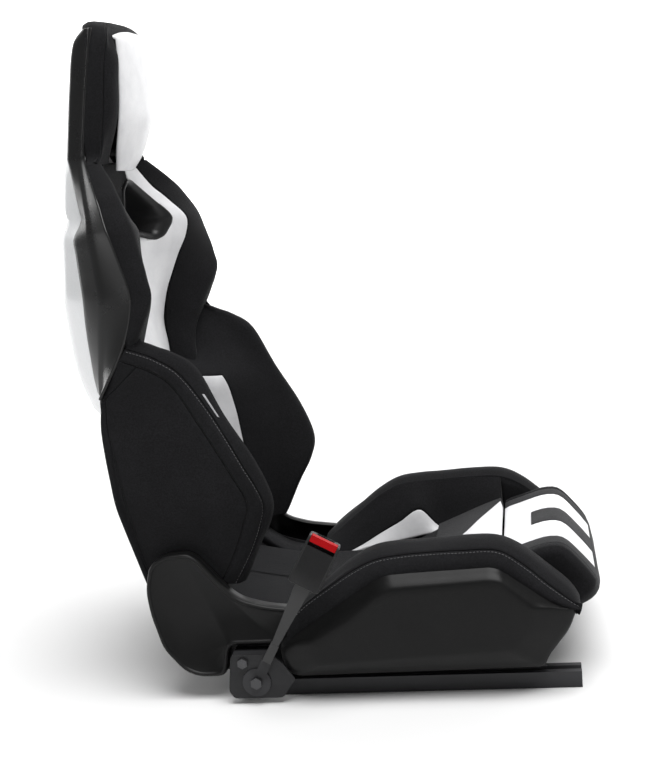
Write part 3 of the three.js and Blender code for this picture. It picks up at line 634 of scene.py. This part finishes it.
def loft(name, rings, body, look, replaced=None, wrap=False):
    """Closed solid through rings of the same number of points, in millimetres."""
    made = new_object(name, np.vstack(rings), tube_faces(len(rings), len(rings[0]), wrap=wrap), look)
    tidy_normals(made)
    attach(made, body)
    if replaced:
        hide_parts(replaced)
    return made


def soften(made, width):
    """Rounds the hard edges of a piece."""
    bevel = made.modifiers.new("edges", "BEVEL")
    bevel.width = width
    bevel.segments = 3
    bevel.limit_method = "ANGLE"
    bevel.angle_limit = math.radians(28.0)
    bevel.harden_normals = True


def cut(made, cutters):
    """Cuts other objects out of a piece, for good."""
    for cutter in cutters:
        boolean = made.modifiers.new("cut", "BOOLEAN")
        boolean.operation = "DIFFERENCE"
        boolean.solver = "EXACT"
        boolean.object = cutter
    evaluated = made.evaluated_get(bpy.context.evaluated_depsgraph_get())
    mesh = bpy.data.meshes.new_from_object(evaluated)
    made.modifiers.clear()
    made.data = mesh


# ---------------- backrest bolsters

# Lines of the bolster's net, each from its top to its foot: (x, z), and (x, z, y) for the base.
BOLSTER_SEAM = [(-279, 519), (-253, 509), (-230, 498), (-203, 476), (-168, 418), (-131, 348), (-109, 298),
                (-119, 262), (-136, 221), (-163, 170)]
BOLSTER_STITCH = [(-269, 536), (-246, 527), (-224, 517), (-190, 492), (-150, 433), (-113, 360), (-86, 300),
                  (-93, 262), (-112, 218), (-140, 168)]
BOLSTER_CREST = [(-256, 546), (-228, 533), (-204, 522), (-172, 497), (-136, 428), (-98, 360), (-77, 303),
                 (-83, 266), (-103, 226), (-130, 168)]
FOOT_Y = [216, 209, 202, 190, 172, 172, 172, 172, 172, 172]
BOLSTER_FOOT = [(-262, 546), (-268, 526), (-272, 503), (-268, 468), (-216, 426), (-198, 372), (-188, 305),
                (-182, 262), (-174, 212), (-163, 165)]
BOLSTER_BASE = [(-296, 546, 168), (-300, 520, 168), (-302, 498, 168), (-294, 464, 165), (-262, 432, 141),
                (-243, 372, 139), (-222, 305, 139), (-210, 262, 139), (-196, 212, 139), (-180, 165, 139)]
BOLSTER_REAR = [(-283, 521), (-314, 463), (-315, 446), (-314, 420), (-309, 385), (-303, 343), (-297, 300),
                (-291, 262), (-283, 218), (-271, 168)]
BOLSTER_SIDE_SEAM = [(-282, 521), (-303, 465), (-305, 449), (-305, 422), (-301, 386), (-296, 344),
                     (-291, 301), (-286, 263), (-279, 218), (-268, 168)]


def bolster_net():
    def row(line, inwards):
        return [(x, half_y(z) - inwards, z) for x, z in line]

    slope = [(0.55 * cx + 0.45 * fx, 0.5 * (half_y(cz) - 24) + 0.5 * fy + 8, 0.55 * cz + 0.45 * fz)
             for (cx, cz), (fx, fz), fy in zip(BOLSTER_CREST, BOLSTER_FOOT, FOOT_Y)]
    return [
        [(x + 1, 200, z) for x, z in BOLSTER_REAR],
        row(BOLSTER_REAR, 17),
        row(BOLSTER_SIDE_SEAM, 5),
        row(BOLSTER_SEAM, 1),
        row(BOLSTER_STITCH, 5),
        row([(x - 1, z) for x, z in BOLSTER_CREST], 14),
        row(BOLSTER_CREST, 25),
        slope,
        [(x, y, z) for (x, z), y in zip(BOLSTER_FOOT, FOOT_Y)],
        [(x, y, z) for x, z, y in BOLSTER_BASE],
    ]


def tag(surface, shown):
    """Small woven tag caught in the seam of the right bolster."""
    row = int(np.argmin(abs(surface.u - 4.5)))
    line = [j for j in range(len(surface.v)) if 428 < shown[row, j, 2] < 466]
    rings = []
    for j in line:
        at, up = shown[row, j], surface.normal[row, j]
        across = unit(shown[row + 1, j] - shown[row, j])
        corners = ((0, -1), (3.2, -1), (3.2, 0.9), (0, 0.9))
        rings.append(np.array([at + across * a + up * b for a, b in corners]))
    loft("woven_tag", rings, "backrest", "tag_fabric", "bolster_tag")


def back_bolster(letter):
    surface = Surface(bolster_net(), (0, 1, 0), (0, 2, 3, 4, 8, 9), (0, 1, 4, 9), side=SIDES[letter])
    pieces = {
        "side_panel": dict(inside=lambda u, v: 2 < u < 3 and v > 1, crown=4.5, reach=30.0),
        "corner_panel": dict(inside=lambda u, v: u < 3 and v < 1, crown=1.0),
        "rear_wrap": dict(inside=lambda u, v: u < 2 and v > 1, crown=1.2, soft=("u0",)),
        "outer_band": dict(inside=lambda u, v: 3 < u < 4, crown=2.2),
        "crest_panel": dict(inside=lambda u, v: 4 < u < 8 or (u > 8 and v < 4), reach=26.0),
        # The insert is white leather drawn in its darker copy: painted shade.
        "insert": dict(inside=lambda u, v: u > 8 and v > 4, look="white_leather_painted_shade", slot="white_leather"),
    }
    common = dict(body="backrest", look="black_fabric", replaced=f"back_bolster_{letter}")
    shown = {}
    for part, options in pieces.items():
        _, shown[part] = pad(f"back_{part}_{letter}", surface, **{**common, **options})
    stitch_before(surface, shown["outer_band"], "backrest", 4)
    if letter == "R":
        tag(surface, shown["crest_panel"])


# ---------------- shoulder wings and bib

WING_HEIGHTS = [434, 462, 490, 518, 550, 575, 592, 612, 632, 652, 680, 702, 718, 735, 752, 772, 800]


def wing_net():
    tuck = over([(500, 22), (530, 16), (552, 0)])
    middle = 0.55

    def inner(z, t, rise):
        x = (1 - t) * wing_front_x(z) + t * wing_inner_x(z) + rise
        y = (1 - t) * wing_front_y(z) + t * wing_inner_y(z) + rise * 0.4
        return (x, y, z)

    return [[rail(z) for z in WING_HEIGHTS] for rail in (
        lambda z: (shell_x(z) - 7, half_y(z) - 7 - tuck(z), z),
        lambda z: (shell_x(z) + 1.5, half_y(z) - 1 - tuck(z), z),
        lambda z: ((1 - middle) * shell_x(z) + middle * wing_front_x(z),
                   max(wing_front_y(z), half_y(z) - 2 - tuck(z)), z),
        lambda z: (wing_front_x(z) - 1, max(wing_front_y(z), half_y(z) - 9 - 2.5 * tuck(z)), z),
        lambda z: inner(z, 0.06, 1.5),
        lambda z: inner(z, 0.35, 4),
        lambda z: inner(z, 0.7, 3),
        lambda z: inner(z, 1.0, 0),
    )]


def shoulder_wing(letter):
    surface = Surface(wing_net(), (1, 0.4, 0), (0, 7), (0, len(WING_HEIGHTS) - 1), side=SIDES[letter])
    pad(f"shoulder_wing_cover_{letter}", surface, "backrest", "black_fabric", f"shoulder_wing_{letter}",
        crown=2.5, thick=7.0, reach=24.0, soft=("v1",))


BIB_HEIGHTS = [440, 490, 530, 575, 605, 640, 672, 702, 731, 745, 760, 800]


def bib_front_x(t, z):
    """Front of the bib at a share t of the way from its middle to the wing's inner edge."""
    rise = max(0.0, (abs(t) - 0.36) / 0.64) ** 1.6
    return (1 - rise) * bib_x(z) + rise * (wing_inner_x(z) - 1)


def bib_face_x(y, z):
    return bib_front_x(min(1.0, abs(y) / (wing_inner_y(z) - 1)), z)


def bib():
    net = [[(bib_front_x(t, z), t * (wing_inner_y(z) - 1), z) for z in BIB_HEIGHTS]
           for t in (-1.0, -0.86, -0.62, -0.43, 0.0, 0.43, 0.62, 0.86, 1.0)]
    surface = Surface(net, (1, 0, 0), (0, 2, 3, 5, 6, 8), (0, 7, 10, 11))
    neck_cells = lambda u, v: (2 < u < 6 and v > 10) or (3 < u < 5 and v > 7)
    white, _ = pad("back_bib", surface, "backrest", "white_leather", "upper_back_pad",
                   inside=lambda u, v: not neck_cells(u, v), crown=2.0, reach=22.0, thick=6.0)
    neck, _ = pad("back_neck_panel", surface, "backrest", "black_fabric", "upper_back_pad",
                  inside=neck_cells, crown=1.5, thick=6.0)
    return [white, neck]


def harness_cutter(letter):
    loop = rounded(shrunk(HARNESS_HOLE, -1.0), 10)
    rings = [np.array([(x, SIDES[letter] * y, z) for y, z in loop]) for x in (-430, -200)]
    return loft(f"cutter_{letter}", rings, "backrest", "black_fabric")


def harness_bezel(letter):
    """Moulded ring round a harness opening: a rounded lip on the cover and a sleeve through to the back."""
    def rear(y, z):
        return rear_x(z) + 7 + max(0.0, (y - 60) / 90) ** 2 * 26

    def ring(grow, face, forward):
        loop = rounded(shrunk(HARNESS_HOLE, -grow), 6)
        return np.array([(face(y, z) + forward, SIDES[letter] * y, z) for y, z in loop])

    lip = [(1.6, -4.0), (1.6, 2.0), (0.6, 3.6), (-1.4, 3.8), (-6.0, 1.6), (-10.0, -2.5), (-11.0, -10.0)]
    rings = [ring(grow, bib_face_x, forward) for grow, forward in lip]
    rings += [ring(-11.0, rear, 1), ring(-11.0, rear, -1), ring(-0.2, rear, 0), ring(-0.2, bib_face_x, -10)]
    loft(f"harness_ring_{letter}", rings, "backrest", "bezel_plastic", f"harness_bezel_{letter}", wrap=True)


# ---------------- lumbar pad and rear panel

LUMBAR_HEIGHTS = [146, 170, 215, 265, 315, 365, 410, 446]


def lumbar():
    net = []
    for y, back in ((-138, 12), (-128, 3), (-80, 0), (0, -4), (80, 0), (128, 3), (138, 12)):
        net.append([(lumbar_x(z) - back, y, z) for z in LUMBAR_HEIGHTS])
    surface = Surface(net, (1, 0, 0), (0, 6), (0, 2, 3, 4, 5, 7))
    pad("lumbar_cover", surface, "backrest", "black_fabric", "lumbar_pad", crown=4.0,
        grooves=[(k, 3.2, 4.0) for k in (2, 3, 4, 5)], reach=22.0, thick=14.0)


def rear_panel():
    net = []
    for y, forward in ((-214, 10), (-204, 2), (-120, -5), (0, -8), (120, -5), (204, 2), (214, 10)):
        net.append([(lower_rear_x(z) + forward - 1, y, z) for z in (180, 240, 300, 360, 418)])
    surface = Surface(net, (-1, 0, 0), (0, 6), (0, 4), 9.0)
    pad("lower_rear_cover", surface, "backrest", "black_fabric", "lower_rear_panel", crown=2.0,
        thick=3.0, deep=3.0)


# ---------------- head

HEAD_HEIGHTS = [800, 812, 840, 880, 920, 955]
head_ease = over([(800, 12), (815, 7), (840, 0)])
head_inner_y = over([(800, 58), (815, 76), (840, 90), (880, 94)])


def arch(side_point, corner_points, top):
    """Rail up the right side, over the top and down the left side of the head."""
    up = [side_point(z) for z in HEAD_HEIGHTS] + corner_points
    return [(x, -y, z) for x, y, z in up] + [top] + up[::-1]


def head():
    net = [
        arch(lambda z: (shell_x(z) - 6, half_y(z) - 10, z),
             [(-324, 117, 985), (-328, 104, 1001), (-334, 78, 1009), (-338, 40, 1011)], (-339, 0, 1011)),
        arch(lambda z: (shell_x(z) + 2, half_y(z) - 1, z),
             [(-314, 124, 984), (-317, 112, 1003), (-323, 84, 1013), (-327, 42, 1016)], (-328, 0, 1016.5)),
        arch(lambda z: ((shell_x(z) + head_seam_x(z)) / 2, half_y(z), z),
             [(-301, 122, 985), (-303, 110, 1003), (-308, 82, 1012), (-312, 40, 1015)], (-313, 0, 1015.5)),
        arch(lambda z: (head_seam_x(z), half_y(z) - 6, z),
             [(-288, 116, 983), (-290, 105, 999), (-295, 78, 1009), (-298, 38, 1012.5)], (-299, 0, 1013)),
        arch(lambda z: (head_pad_seam_x(z) - 9 - head_ease(z), half_y(z) - 17, z),
             [(-288, 108, 980), (-289, 98, 993), (-290, 72, 1003), (-289, 36, 1007)], (-288, 0, 1008)),
        arch(lambda z: (head_pad_seam_x(z) - 5 - 1.4 * head_ease(z), head_inner_y(z), z),
             [(-283, 91, 975), (-284, 84, 985), (-284, 62, 993), (-284, 31, 997)], (-284, 0, 998)),
        arch(lambda z: (head_pad_seam_x(z) - 20 - 1.4 * head_ease(z), head_inner_y(z) - 5, z),
             [(-300, 86, 972), (-300, 79, 982), (-300, 59, 990), (-299, 29, 993)], (-299, 0, 994)),
    ]
    surface = Surface(net, (0, 0, 1), (0, 3, 6), (0, len(net[0]) - 1))
    for name, inside in (("head_side_band", lambda u, v: u < 3), ("head_front_band", lambda u, v: u > 3)):
        pad(name, surface, "backrest", "black_fabric", "head_surround", inside=inside, crown=1.5,
            thick=4.0, roll=3.0, deep=2.5, soft=("v0", "v1"))


def head_pad():
    middle = [(-288, 1000), (-273, 995), (-268, 975), (-266, 940), (-266, 902), (-267, 868), (-273, 846),
              (-285, 812), (-301, 786)]
    edge = [(-287, 990), (-279, 986), (-278, 970), (-279, 940), (-281, 902), (-285, 868), (-289, 850),
            (-298, 818), (-307, 788)]
    waist = [1, 1, 1, 1, 1, 1, 0.96, 0.82, 0.56]
    net = []
    for y, share in ((-92, 0.0), (-82, 0.25), (-48, 0.74), (0, 1.0), (48, 0.74), (82, 0.25), (92, 0.0)):
        net.append([(e[0] + share * (m[0] - e[0]), y * waist[k], e[1] + share * (m[1] - e[1]))
                    for k, (m, e) in enumerate(zip(middle, edge))])
    surface = Surface(net, (1, 0, 0), (0, 6), (0, 8), 6.0)
    pad("head_pad_cover", surface, "backrest", "white_leather", "head_pad", crown=2.5, roll=3.0,
        deep=1.6, thick=1.4, reach=14.0, uneven=0.7)


# ---------------- back shell

SHELL_HEIGHTS = [464, 490, 518, 545, 575, 606, 628, 650, 672, 693, 707, 721, 735, 750, 770, 790, 803,
                 812, 824, 860, 897, 930, 960, 985, 1002]


def shell_rear(z, share_y, share_x, forward=0.0):
    """Point of the rear face, between the panel's edge and the middle of the back."""
    return (panel_x(z) + (rear_x(z) - panel_x(z)) * share_x + forward, panel_y(z) * share_y, z)


def shell():
    hard = dict(body="backrest", crown=0.0, uneven=0.0, padded=False)
    dark = dict(look="shell_plastic", replaced="back_shell", roll=2.0, deep=1.5, **hard)
    flank = [[make(z) for z in SHELL_HEIGHTS] for make in (
        lambda z: shell_rear(z, 0.97, 0.06, 2.0),
        lambda z: (panel_x(z), panel_y(z) + 0.5, z),
        lambda z: ((2 * panel_x(z) + facet_x(z)) / 3, (2 * panel_y(z) + facet_y(z)) / 3 + 2.0, z),
        lambda z: (facet_x(z) - 2, facet_y(z) - 0.5, z),
        lambda z: (facet_x(z) + 3, facet_y(z) + 1.5, z),
        lambda z: ((facet_x(z) + 2 * shell_x(z)) / 3, (facet_y(z) + 2 * half_y(z)) / 3 + 1.0, z),
        lambda z: (shell_x(z) - 1, half_y(z) + 0.5, z),
    )]
    made = []
    for letter, side in SIDES.items():
        surface = Surface(flank, (-0.6, 1, 0), (0, 6), (0, len(SHELL_HEIGHTS) - 1), side=side)
        made.append(pad(f"back_shell_side_{letter}", surface, thick=2.5, **dark)[0])
    heights = [421, 433, 448] + SHELL_HEIGHTS[:-1] + [998]
    half = [(1.0, 0.0), (0.8, 0.7), (0.5, 0.97), (0.2, 1.0)]
    across = [(-share_y, share_x) for share_y, share_x in half] + half[::-1]
    net = [[shell_rear(z, share_y, share_x) for z in heights] for share_y, share_x in across]
    surface = Surface(net, (-1, 0, 0), (0, 7), (0, len(heights) - 1), 9.0)
    made.append(pad("back_silver_panel", surface, look="silver_panel", replaced="back_panel", roll=3.0,
                    deep=2.0, thick=2.0, **hard)[0])
    cap = []
    for y, drop in ((-112, 14), (-104, 7), (-60, 1), (0, 0), (60, 1), (104, 7), (112, 14)):
        back = -341 + 15 * (abs(y) / 112) ** 3
        cap.append([(back + x, y, z - drop) for x, z in ((0, 990), (0, 999), (3, 1006), (10, 1009))])
    surface = Surface(cap, (0, 0, 1), (0, 6), (0, 3))
    made.append(pad("back_shell_crown", surface, thick=2.0, **dark)[0])
    return made


# ---------------- cushion

CUSHION_X = [-62, -30, 5, 38, 73, 110, 148, 200, 250, 285, 320, 350, 366]
TRIM_TOP = [100, 126, 148, 170, 190, 197, 199, 200, 199, 176, 148, 131, 126]
CUSHION_STITCH = [120, 148, 172, 193, 209, 215, 217.5, 218.5, 217, 196, 165, 140, 128]
CUSHION_CREST = [121, 147, 175, 200, 218, 223.5, 225, 227.5, 226, 210, 181, 153, 130]
CUSHION_DEPTH = [26, 26, 26, 26, 26, 26, 26, 26, 26, 22, 12, 3, 0.6]
CUSHION_INNER = [92, 100, 116, 135, 154, 174, 142, 161, 181]
CUSHION_BASE = [98, 108, 113, 118, 124, 131, 140, 158, 178]


def cushion_bolster(letter):
    side = SIDES[letter]
    xs = CUSHION_X
    common = dict(body="seat_base", look="black_fabric", replaced=f"cushion_bolster_{letter}")
    outer = [
        [(x, 263, z - d) for x, z, d in zip(xs, TRIM_TOP, CUSHION_DEPTH)],
        [(x, 267, z + 1) for x, z in zip(xs, TRIM_TOP)],
        [(x, 258, z) for x, z in zip(xs, CUSHION_STITCH)],
        [(x, 246, z - 3.5) for x, z in zip(xs, CUSHION_CREST)],
        [(x, 231, z + 0.5) for x, z in zip(xs, CUSHION_CREST)],
        [(x, 215, z + 0.5) for x, z in zip(xs, CUSHION_CREST)],
        [(x, 199, z - 8) for x, z in zip(xs, CUSHION_CREST)],
    ]
    surface = Surface(outer, (0, 0.4, 1), (0, 2, 6), (0, 12), side=side)
    _, shown = pad(f"cushion_side_band_{letter}", surface, inside=lambda u, v: u < 2, crown=1.5, thick=7.0,
                   **common)
    pad(f"cushion_crest_{letter}", surface, inside=lambda u, v: u > 2, crown=2.4, reach=9.0, soft=("u1",),
        **common)
    stitch_before(surface, shown, "seat_base", 2)
    inner = [
        [(x, 199, z - 8) for x, z in zip(xs[:9], CUSHION_CREST)],
        [(x, 184, 0.5 * (a - 8 + b) + 2) for x, a, b in zip(xs, CUSHION_CREST, CUSHION_INNER)],
        [(x, 169, z) for x, z in zip(xs, CUSHION_INNER)],
        [(x, 155, min(z, i - 1)) for x, z, i in zip(xs, CUSHION_BASE, CUSHION_INNER)],
    ]
    surface = Surface(inner, (0, -0.6, 1), (0, 2, 3), (0, 5, 6, 8), side=side)
    pad(f"cushion_inner_slope_{letter}", surface, inside=lambda u, v: u < 2 or v < 1 or v > 6, crown=2.4,
        reach=9.0, soft=("u0",), **common)
    # The insert is white leather drawn in its darker copy: painted shade.
    pad(f"cushion_insert_{letter}", surface, inside=lambda u, v: u > 2 and 1 < v < 6, crown=2.0,
        **{**common, "look": "white_leather_painted_shade", "slot": "white_leather"})
    drops = (60, 46, 26, 14, 6)
    rows = [[(x, y, z - 8 - share * d) for x, z, d in zip(xs[8:], CUSHION_CREST[8:], drops)]
            for y, share in ((199, 0.0), (197, 0.4), (198, 1.0))]
    wall = Surface(rows, (0, -1, 0.2), side=side)
    pad(f"cushion_inner_wall_{letter}", wall, crown=0.0, thick=2.0, soft=("u0", "u1", "v0", "v1"), **common)


def cushion_corner(letter):
    """Black cushion cover behind each bolster, down to the pan."""
    slope = ((-172, 154), (-155, 138), (-125, 118), (-95, 111), (-60, 110))
    net = [[(x, y, z - drop) for x, z in slope]
           for y, drop in ((157, 4), (170, 0), (195, 0), (214, 3), (222, 14))]
    surface = Surface(net, (0, 0, 1), (0, 4), (0, 4), side=SIDES[letter])
    pad(f"cushion_corner_{letter}", surface, "seat_base", "black_fabric", f"cushion_bolster_{letter}",
        crown=1.5)


CENTRE_LINE = [(-204, 112), (-193, 123), (-100, 106), (-30, 103), (40, 106), (100, 117), (148, 138),
               (190, 155), (222, 168), (254, 179)]


def centre_pad():
    net = []
    for edge in (-156, -150, -100, -1, 0, 1, 100, 150, 156):
        row = []
        for x, z in CENTRE_LINE:
            y = edge
            tongue = 130.0 * (x - 190) / 64  # half width of the white tongue, which starts at x = 190
            if abs(edge) == 1:
                y = edge * max(2.0, tongue)
            if abs(edge) == 100:
                y = math.copysign(max(100.0, tongue + 9), edge)
            row.append((x, y, z - (3 if abs(edge) > 155 else 0)))
        net.append(row)
    surface = Surface(net, (0, 0, 1), (0, 3, 5, 8), (0, 2, 3, 4, 5, 6, 7, 9))
    white = lambda u, v: 3 < u < 5 and v > 7
    common = dict(body="seat_base", replaced="cushion_centre_pad")
    pad("cushion_centre_cover", surface, look="black_fabric", inside=lambda u, v: v < 6,
        grooves=[(k, 2.6, 4.0) for k in (2, 3, 4, 5)], reach=20.0, thick=5.0, **common)
    pad("cushion_front_cover", surface, look="charcoal_fabric", slot="grey_fabric",
        inside=lambda u, v: v > 6 and not white(u, v), crown=2.0, thick=12.0, **common)
    pad("cushion_front_tongue", surface, look="white_leather", inside=white, crown=2.0, thick=12.0,
        **common)


NOSE = [(257, 168), (257.5, 180), (282, 189), (299, 194.5), (318, 200), (338, 201), (353, 194),
        (373, 172), (385, 157), (393, 145), (398, 126), (393, 110), (380, 100), (362, 94), (345, 92),
        (330, 92)]
NOSE_SIDE = NOSE[:8] + [(387, 153), (391, 144), (388, 134), (380, 124), (368, 115), (352, 108),
                        (338, 103), (326, 101)]
NOSE_CENTRE = np.array([325.0, 145.0])


def nose():
    net = []
    columns = [(193, 0), (194.5, 8), (189, 2), (171, 0), (131, 0), (41, 0), (0, 0)]
    columns += [(-y, i) for y, i in reversed(columns[:-1])]
    for y, inwards in columns:
        row = []
        share = min(1.0, max(0.0, (abs(y) - 131) / 55)) ** 2
        for k, (point, beside) in enumerate(zip(NOSE, NOSE_SIDE)):
            at = (1 - share) * np.array(point, float) + share * np.array(beside, float)
            if inwards or abs(y) < 190:
                at = at + unit(NOSE_CENTRE - at) * inwards
            else:
                at = at * 0.12 + NOSE_CENTRE * 0.88
            taper = 1 - 0.06 * max(0, k - 6) / 3 if abs(y) == 131 else 1
            row.append((at[0], y * taper, at[1]))
        net.append(row)
    surface = Surface(net, (0, 0, 1), (0, 3, 4, 5, 7, 8, 9, 12), (0, 3, 9, 15))
    band = lambda u, low, high: low < u < high or 12 - high < u < 12 - low
    white = lambda u, v: v < 9 and (band(u, 4, 5) or (5 < u < 7 and v < 3))
    stripe = lambda u, v: 5 < u < 7 and 3 < v < 9
    sides = lambda u, v: band(u, 0, 3)
    border = lambda u, v: not (white(u, v) or stripe(u, v) or sides(u, v))
    for name, look, slot, inside in (
        ("nose_white_panel", "white_leather", None, white),
        ("nose_stripe", "grey_fabric", None, stripe),
        ("nose_border", "charcoal_fabric", "grey_fabric", border),
        ("nose_side_R", "black_fabric", None, lambda u, v: sides(u, v) and u > 6),
        ("nose_side_L", "black_fabric", None, lambda u, v: sides(u, v) and u < 6),
    ):
        pad(name, surface, "thigh_support", look, "thigh_pad", slot, inside, crown=2.0, reach=20.0,
            thick=16.0, roll=3.5, deep=3.0)


# ---------------- plastic covers


def side_trim(letter):
    def ring(inwards, share, y, radius):
        corners = np.array(TRIM_OUTLINE) * (1 - share) + np.array(TRIM_FACE) * share
        return outline_ring(corners, inwards, radius, letter, y)

    # Inwards, share of the way from the outline to the face, and y.
    inner = [(3.0, 1.0, 282), (3.0, 0.0, 261), (3.0, 0.0, 232)]
    outer = [(0.0, 0.0, 232), (0.0, 0.0, 246), (0.0, 0.0, 258), (0.6, 0.0, 262), (2.2, 0.02, 264.6),
             (5.0, 0.1, 267.5), (0.0, 0.5, 275.6), (0.0, 0.86, 282.6), (0.0, 0.97, 284.6),
             (3.0, 1.0, 285.6), (12.0, 1.0, 286.2)]
    rings = [ring(*step, 10) for step in inner] + [ring(*step, 12) for step in outer]
    loft(f"side_trim_cover_{letter}", rings, "seat_base", "trim_plastic", f"side_trim_{letter}")


def recliner_cover(letter):
    # Inwards and y.
    outer = [(0.0, 229.3), (0.0, 243), (0.3, 247), (1.4, 249.6), (3.2, 250.8), (5.0, 250.6), (6.4, 249.0),
             (7.4, 247.6)]
    rings = [outline_ring(COVER_OUTLINE, 3.0, 12, letter, y) for y in (244.4, 229.3)]
    rings += [outline_ring(COVER_OUTLINE, inwards, 14, letter, y) for inwards, y in outer]
    loft(f"recliner_cover_skin_{letter}", rings, "seat_base", "trim_plastic", f"recliner_cover_{letter}")


# ---------------- build

for letter in SIDES:
    back_bolster(letter)
    shoulder_wing(letter)
    harness_bezel(letter)
    cushion_bolster(letter)
    cushion_corner(letter)
    side_trim(letter)
    recliner_cover(letter)
cut_pieces = bib()
lumbar()
rear_panel()
head()
head_pad()
cutters = [harness_cutter(letter) for letter in SIDES]
for piece in shell() + cut_pieces:
    cut(piece, cutters)
for cutter in cutters:
    bpy.data.objects.remove(cutter)
centre_pad()
nose()
sew()

EDGE_WIDTH = 0.0008
BUCKLE_EDGE_WIDTH = 0.002
for name, node in frame["nodes"].items():
    if not node.hide_render:
        soften(node, BUCKLE_EDGE_WIDTH if name == "buckle_housing" else EDGE_WIDTH)

# ---------------- studio

scene.view_settings.view_transform = "Standard"
scene.view_settings.look = "None"

def studio_plane(name, corners):
    """One flat face of the studio, and the nodes of its material."""
    mesh = bpy.data.meshes.new(name)
    mesh.from_pydata(corners, [], [(0, 1, 2, 3)])
    made = bpy.data.objects.new(name, mesh)
    scene.collection.objects.link(made)
    nodes = material(name)
    mesh.materials.append(MATERIALS[name])
    return made, nodes


floor, n = studio_plane("floor", [(-14, -12, 0), (14, -12, 0), (14, 7.2, 0), (-14, 7.2, 0)])
floor.location.z = -0.0005
tone = n.noise(0.8, 2.0)
n.finish(n.tint(tone, (0.74, 0.74, 0.74), (0.76, 0.76, 0.76)), n.spread(tone, 0.3, 0.7, 0.7, 0.8),
         Specular_IOR_Level=0.0)

wall, n = studio_plane("backdrop", [(-14, 7, -0.1), (14, 7, -0.1), (14, 7, 9), (-14, 7, 9)])
glow = n.noise(0.5, 2.0)
n.join(n.spread(glow, 0.0, 1.0, 1.02, 1.06), n.shader.inputs["Emission Strength"])
n.finish(Base_Color=(0.9, 0.9, 0.9, 1.0), Emission_Color=(1.0, 1.0, 1.0, 1.0), Specular_IOR_Level=0.0)

world = bpy.data.worlds.new("studio")
world.use_nodes = True
world.node_tree.nodes["Background"].inputs["Color"].default_value = (1, 1, 1, 1)
world.node_tree.nodes["Background"].inputs["Strength"].default_value = 0.27
scene.world = world

sun_data = bpy.data.lights.new("overhead", "SUN")
sun_data.energy = 3.6
sun_data.angle = math.radians(46)
sun = bpy.data.objects.new("overhead", sun_data)
scene.collection.objects.link(sun)
sun.rotation_euler = Vector((-0.30, 0.40, -1.6)).to_track_quat("-Z", "Y").to_euler()
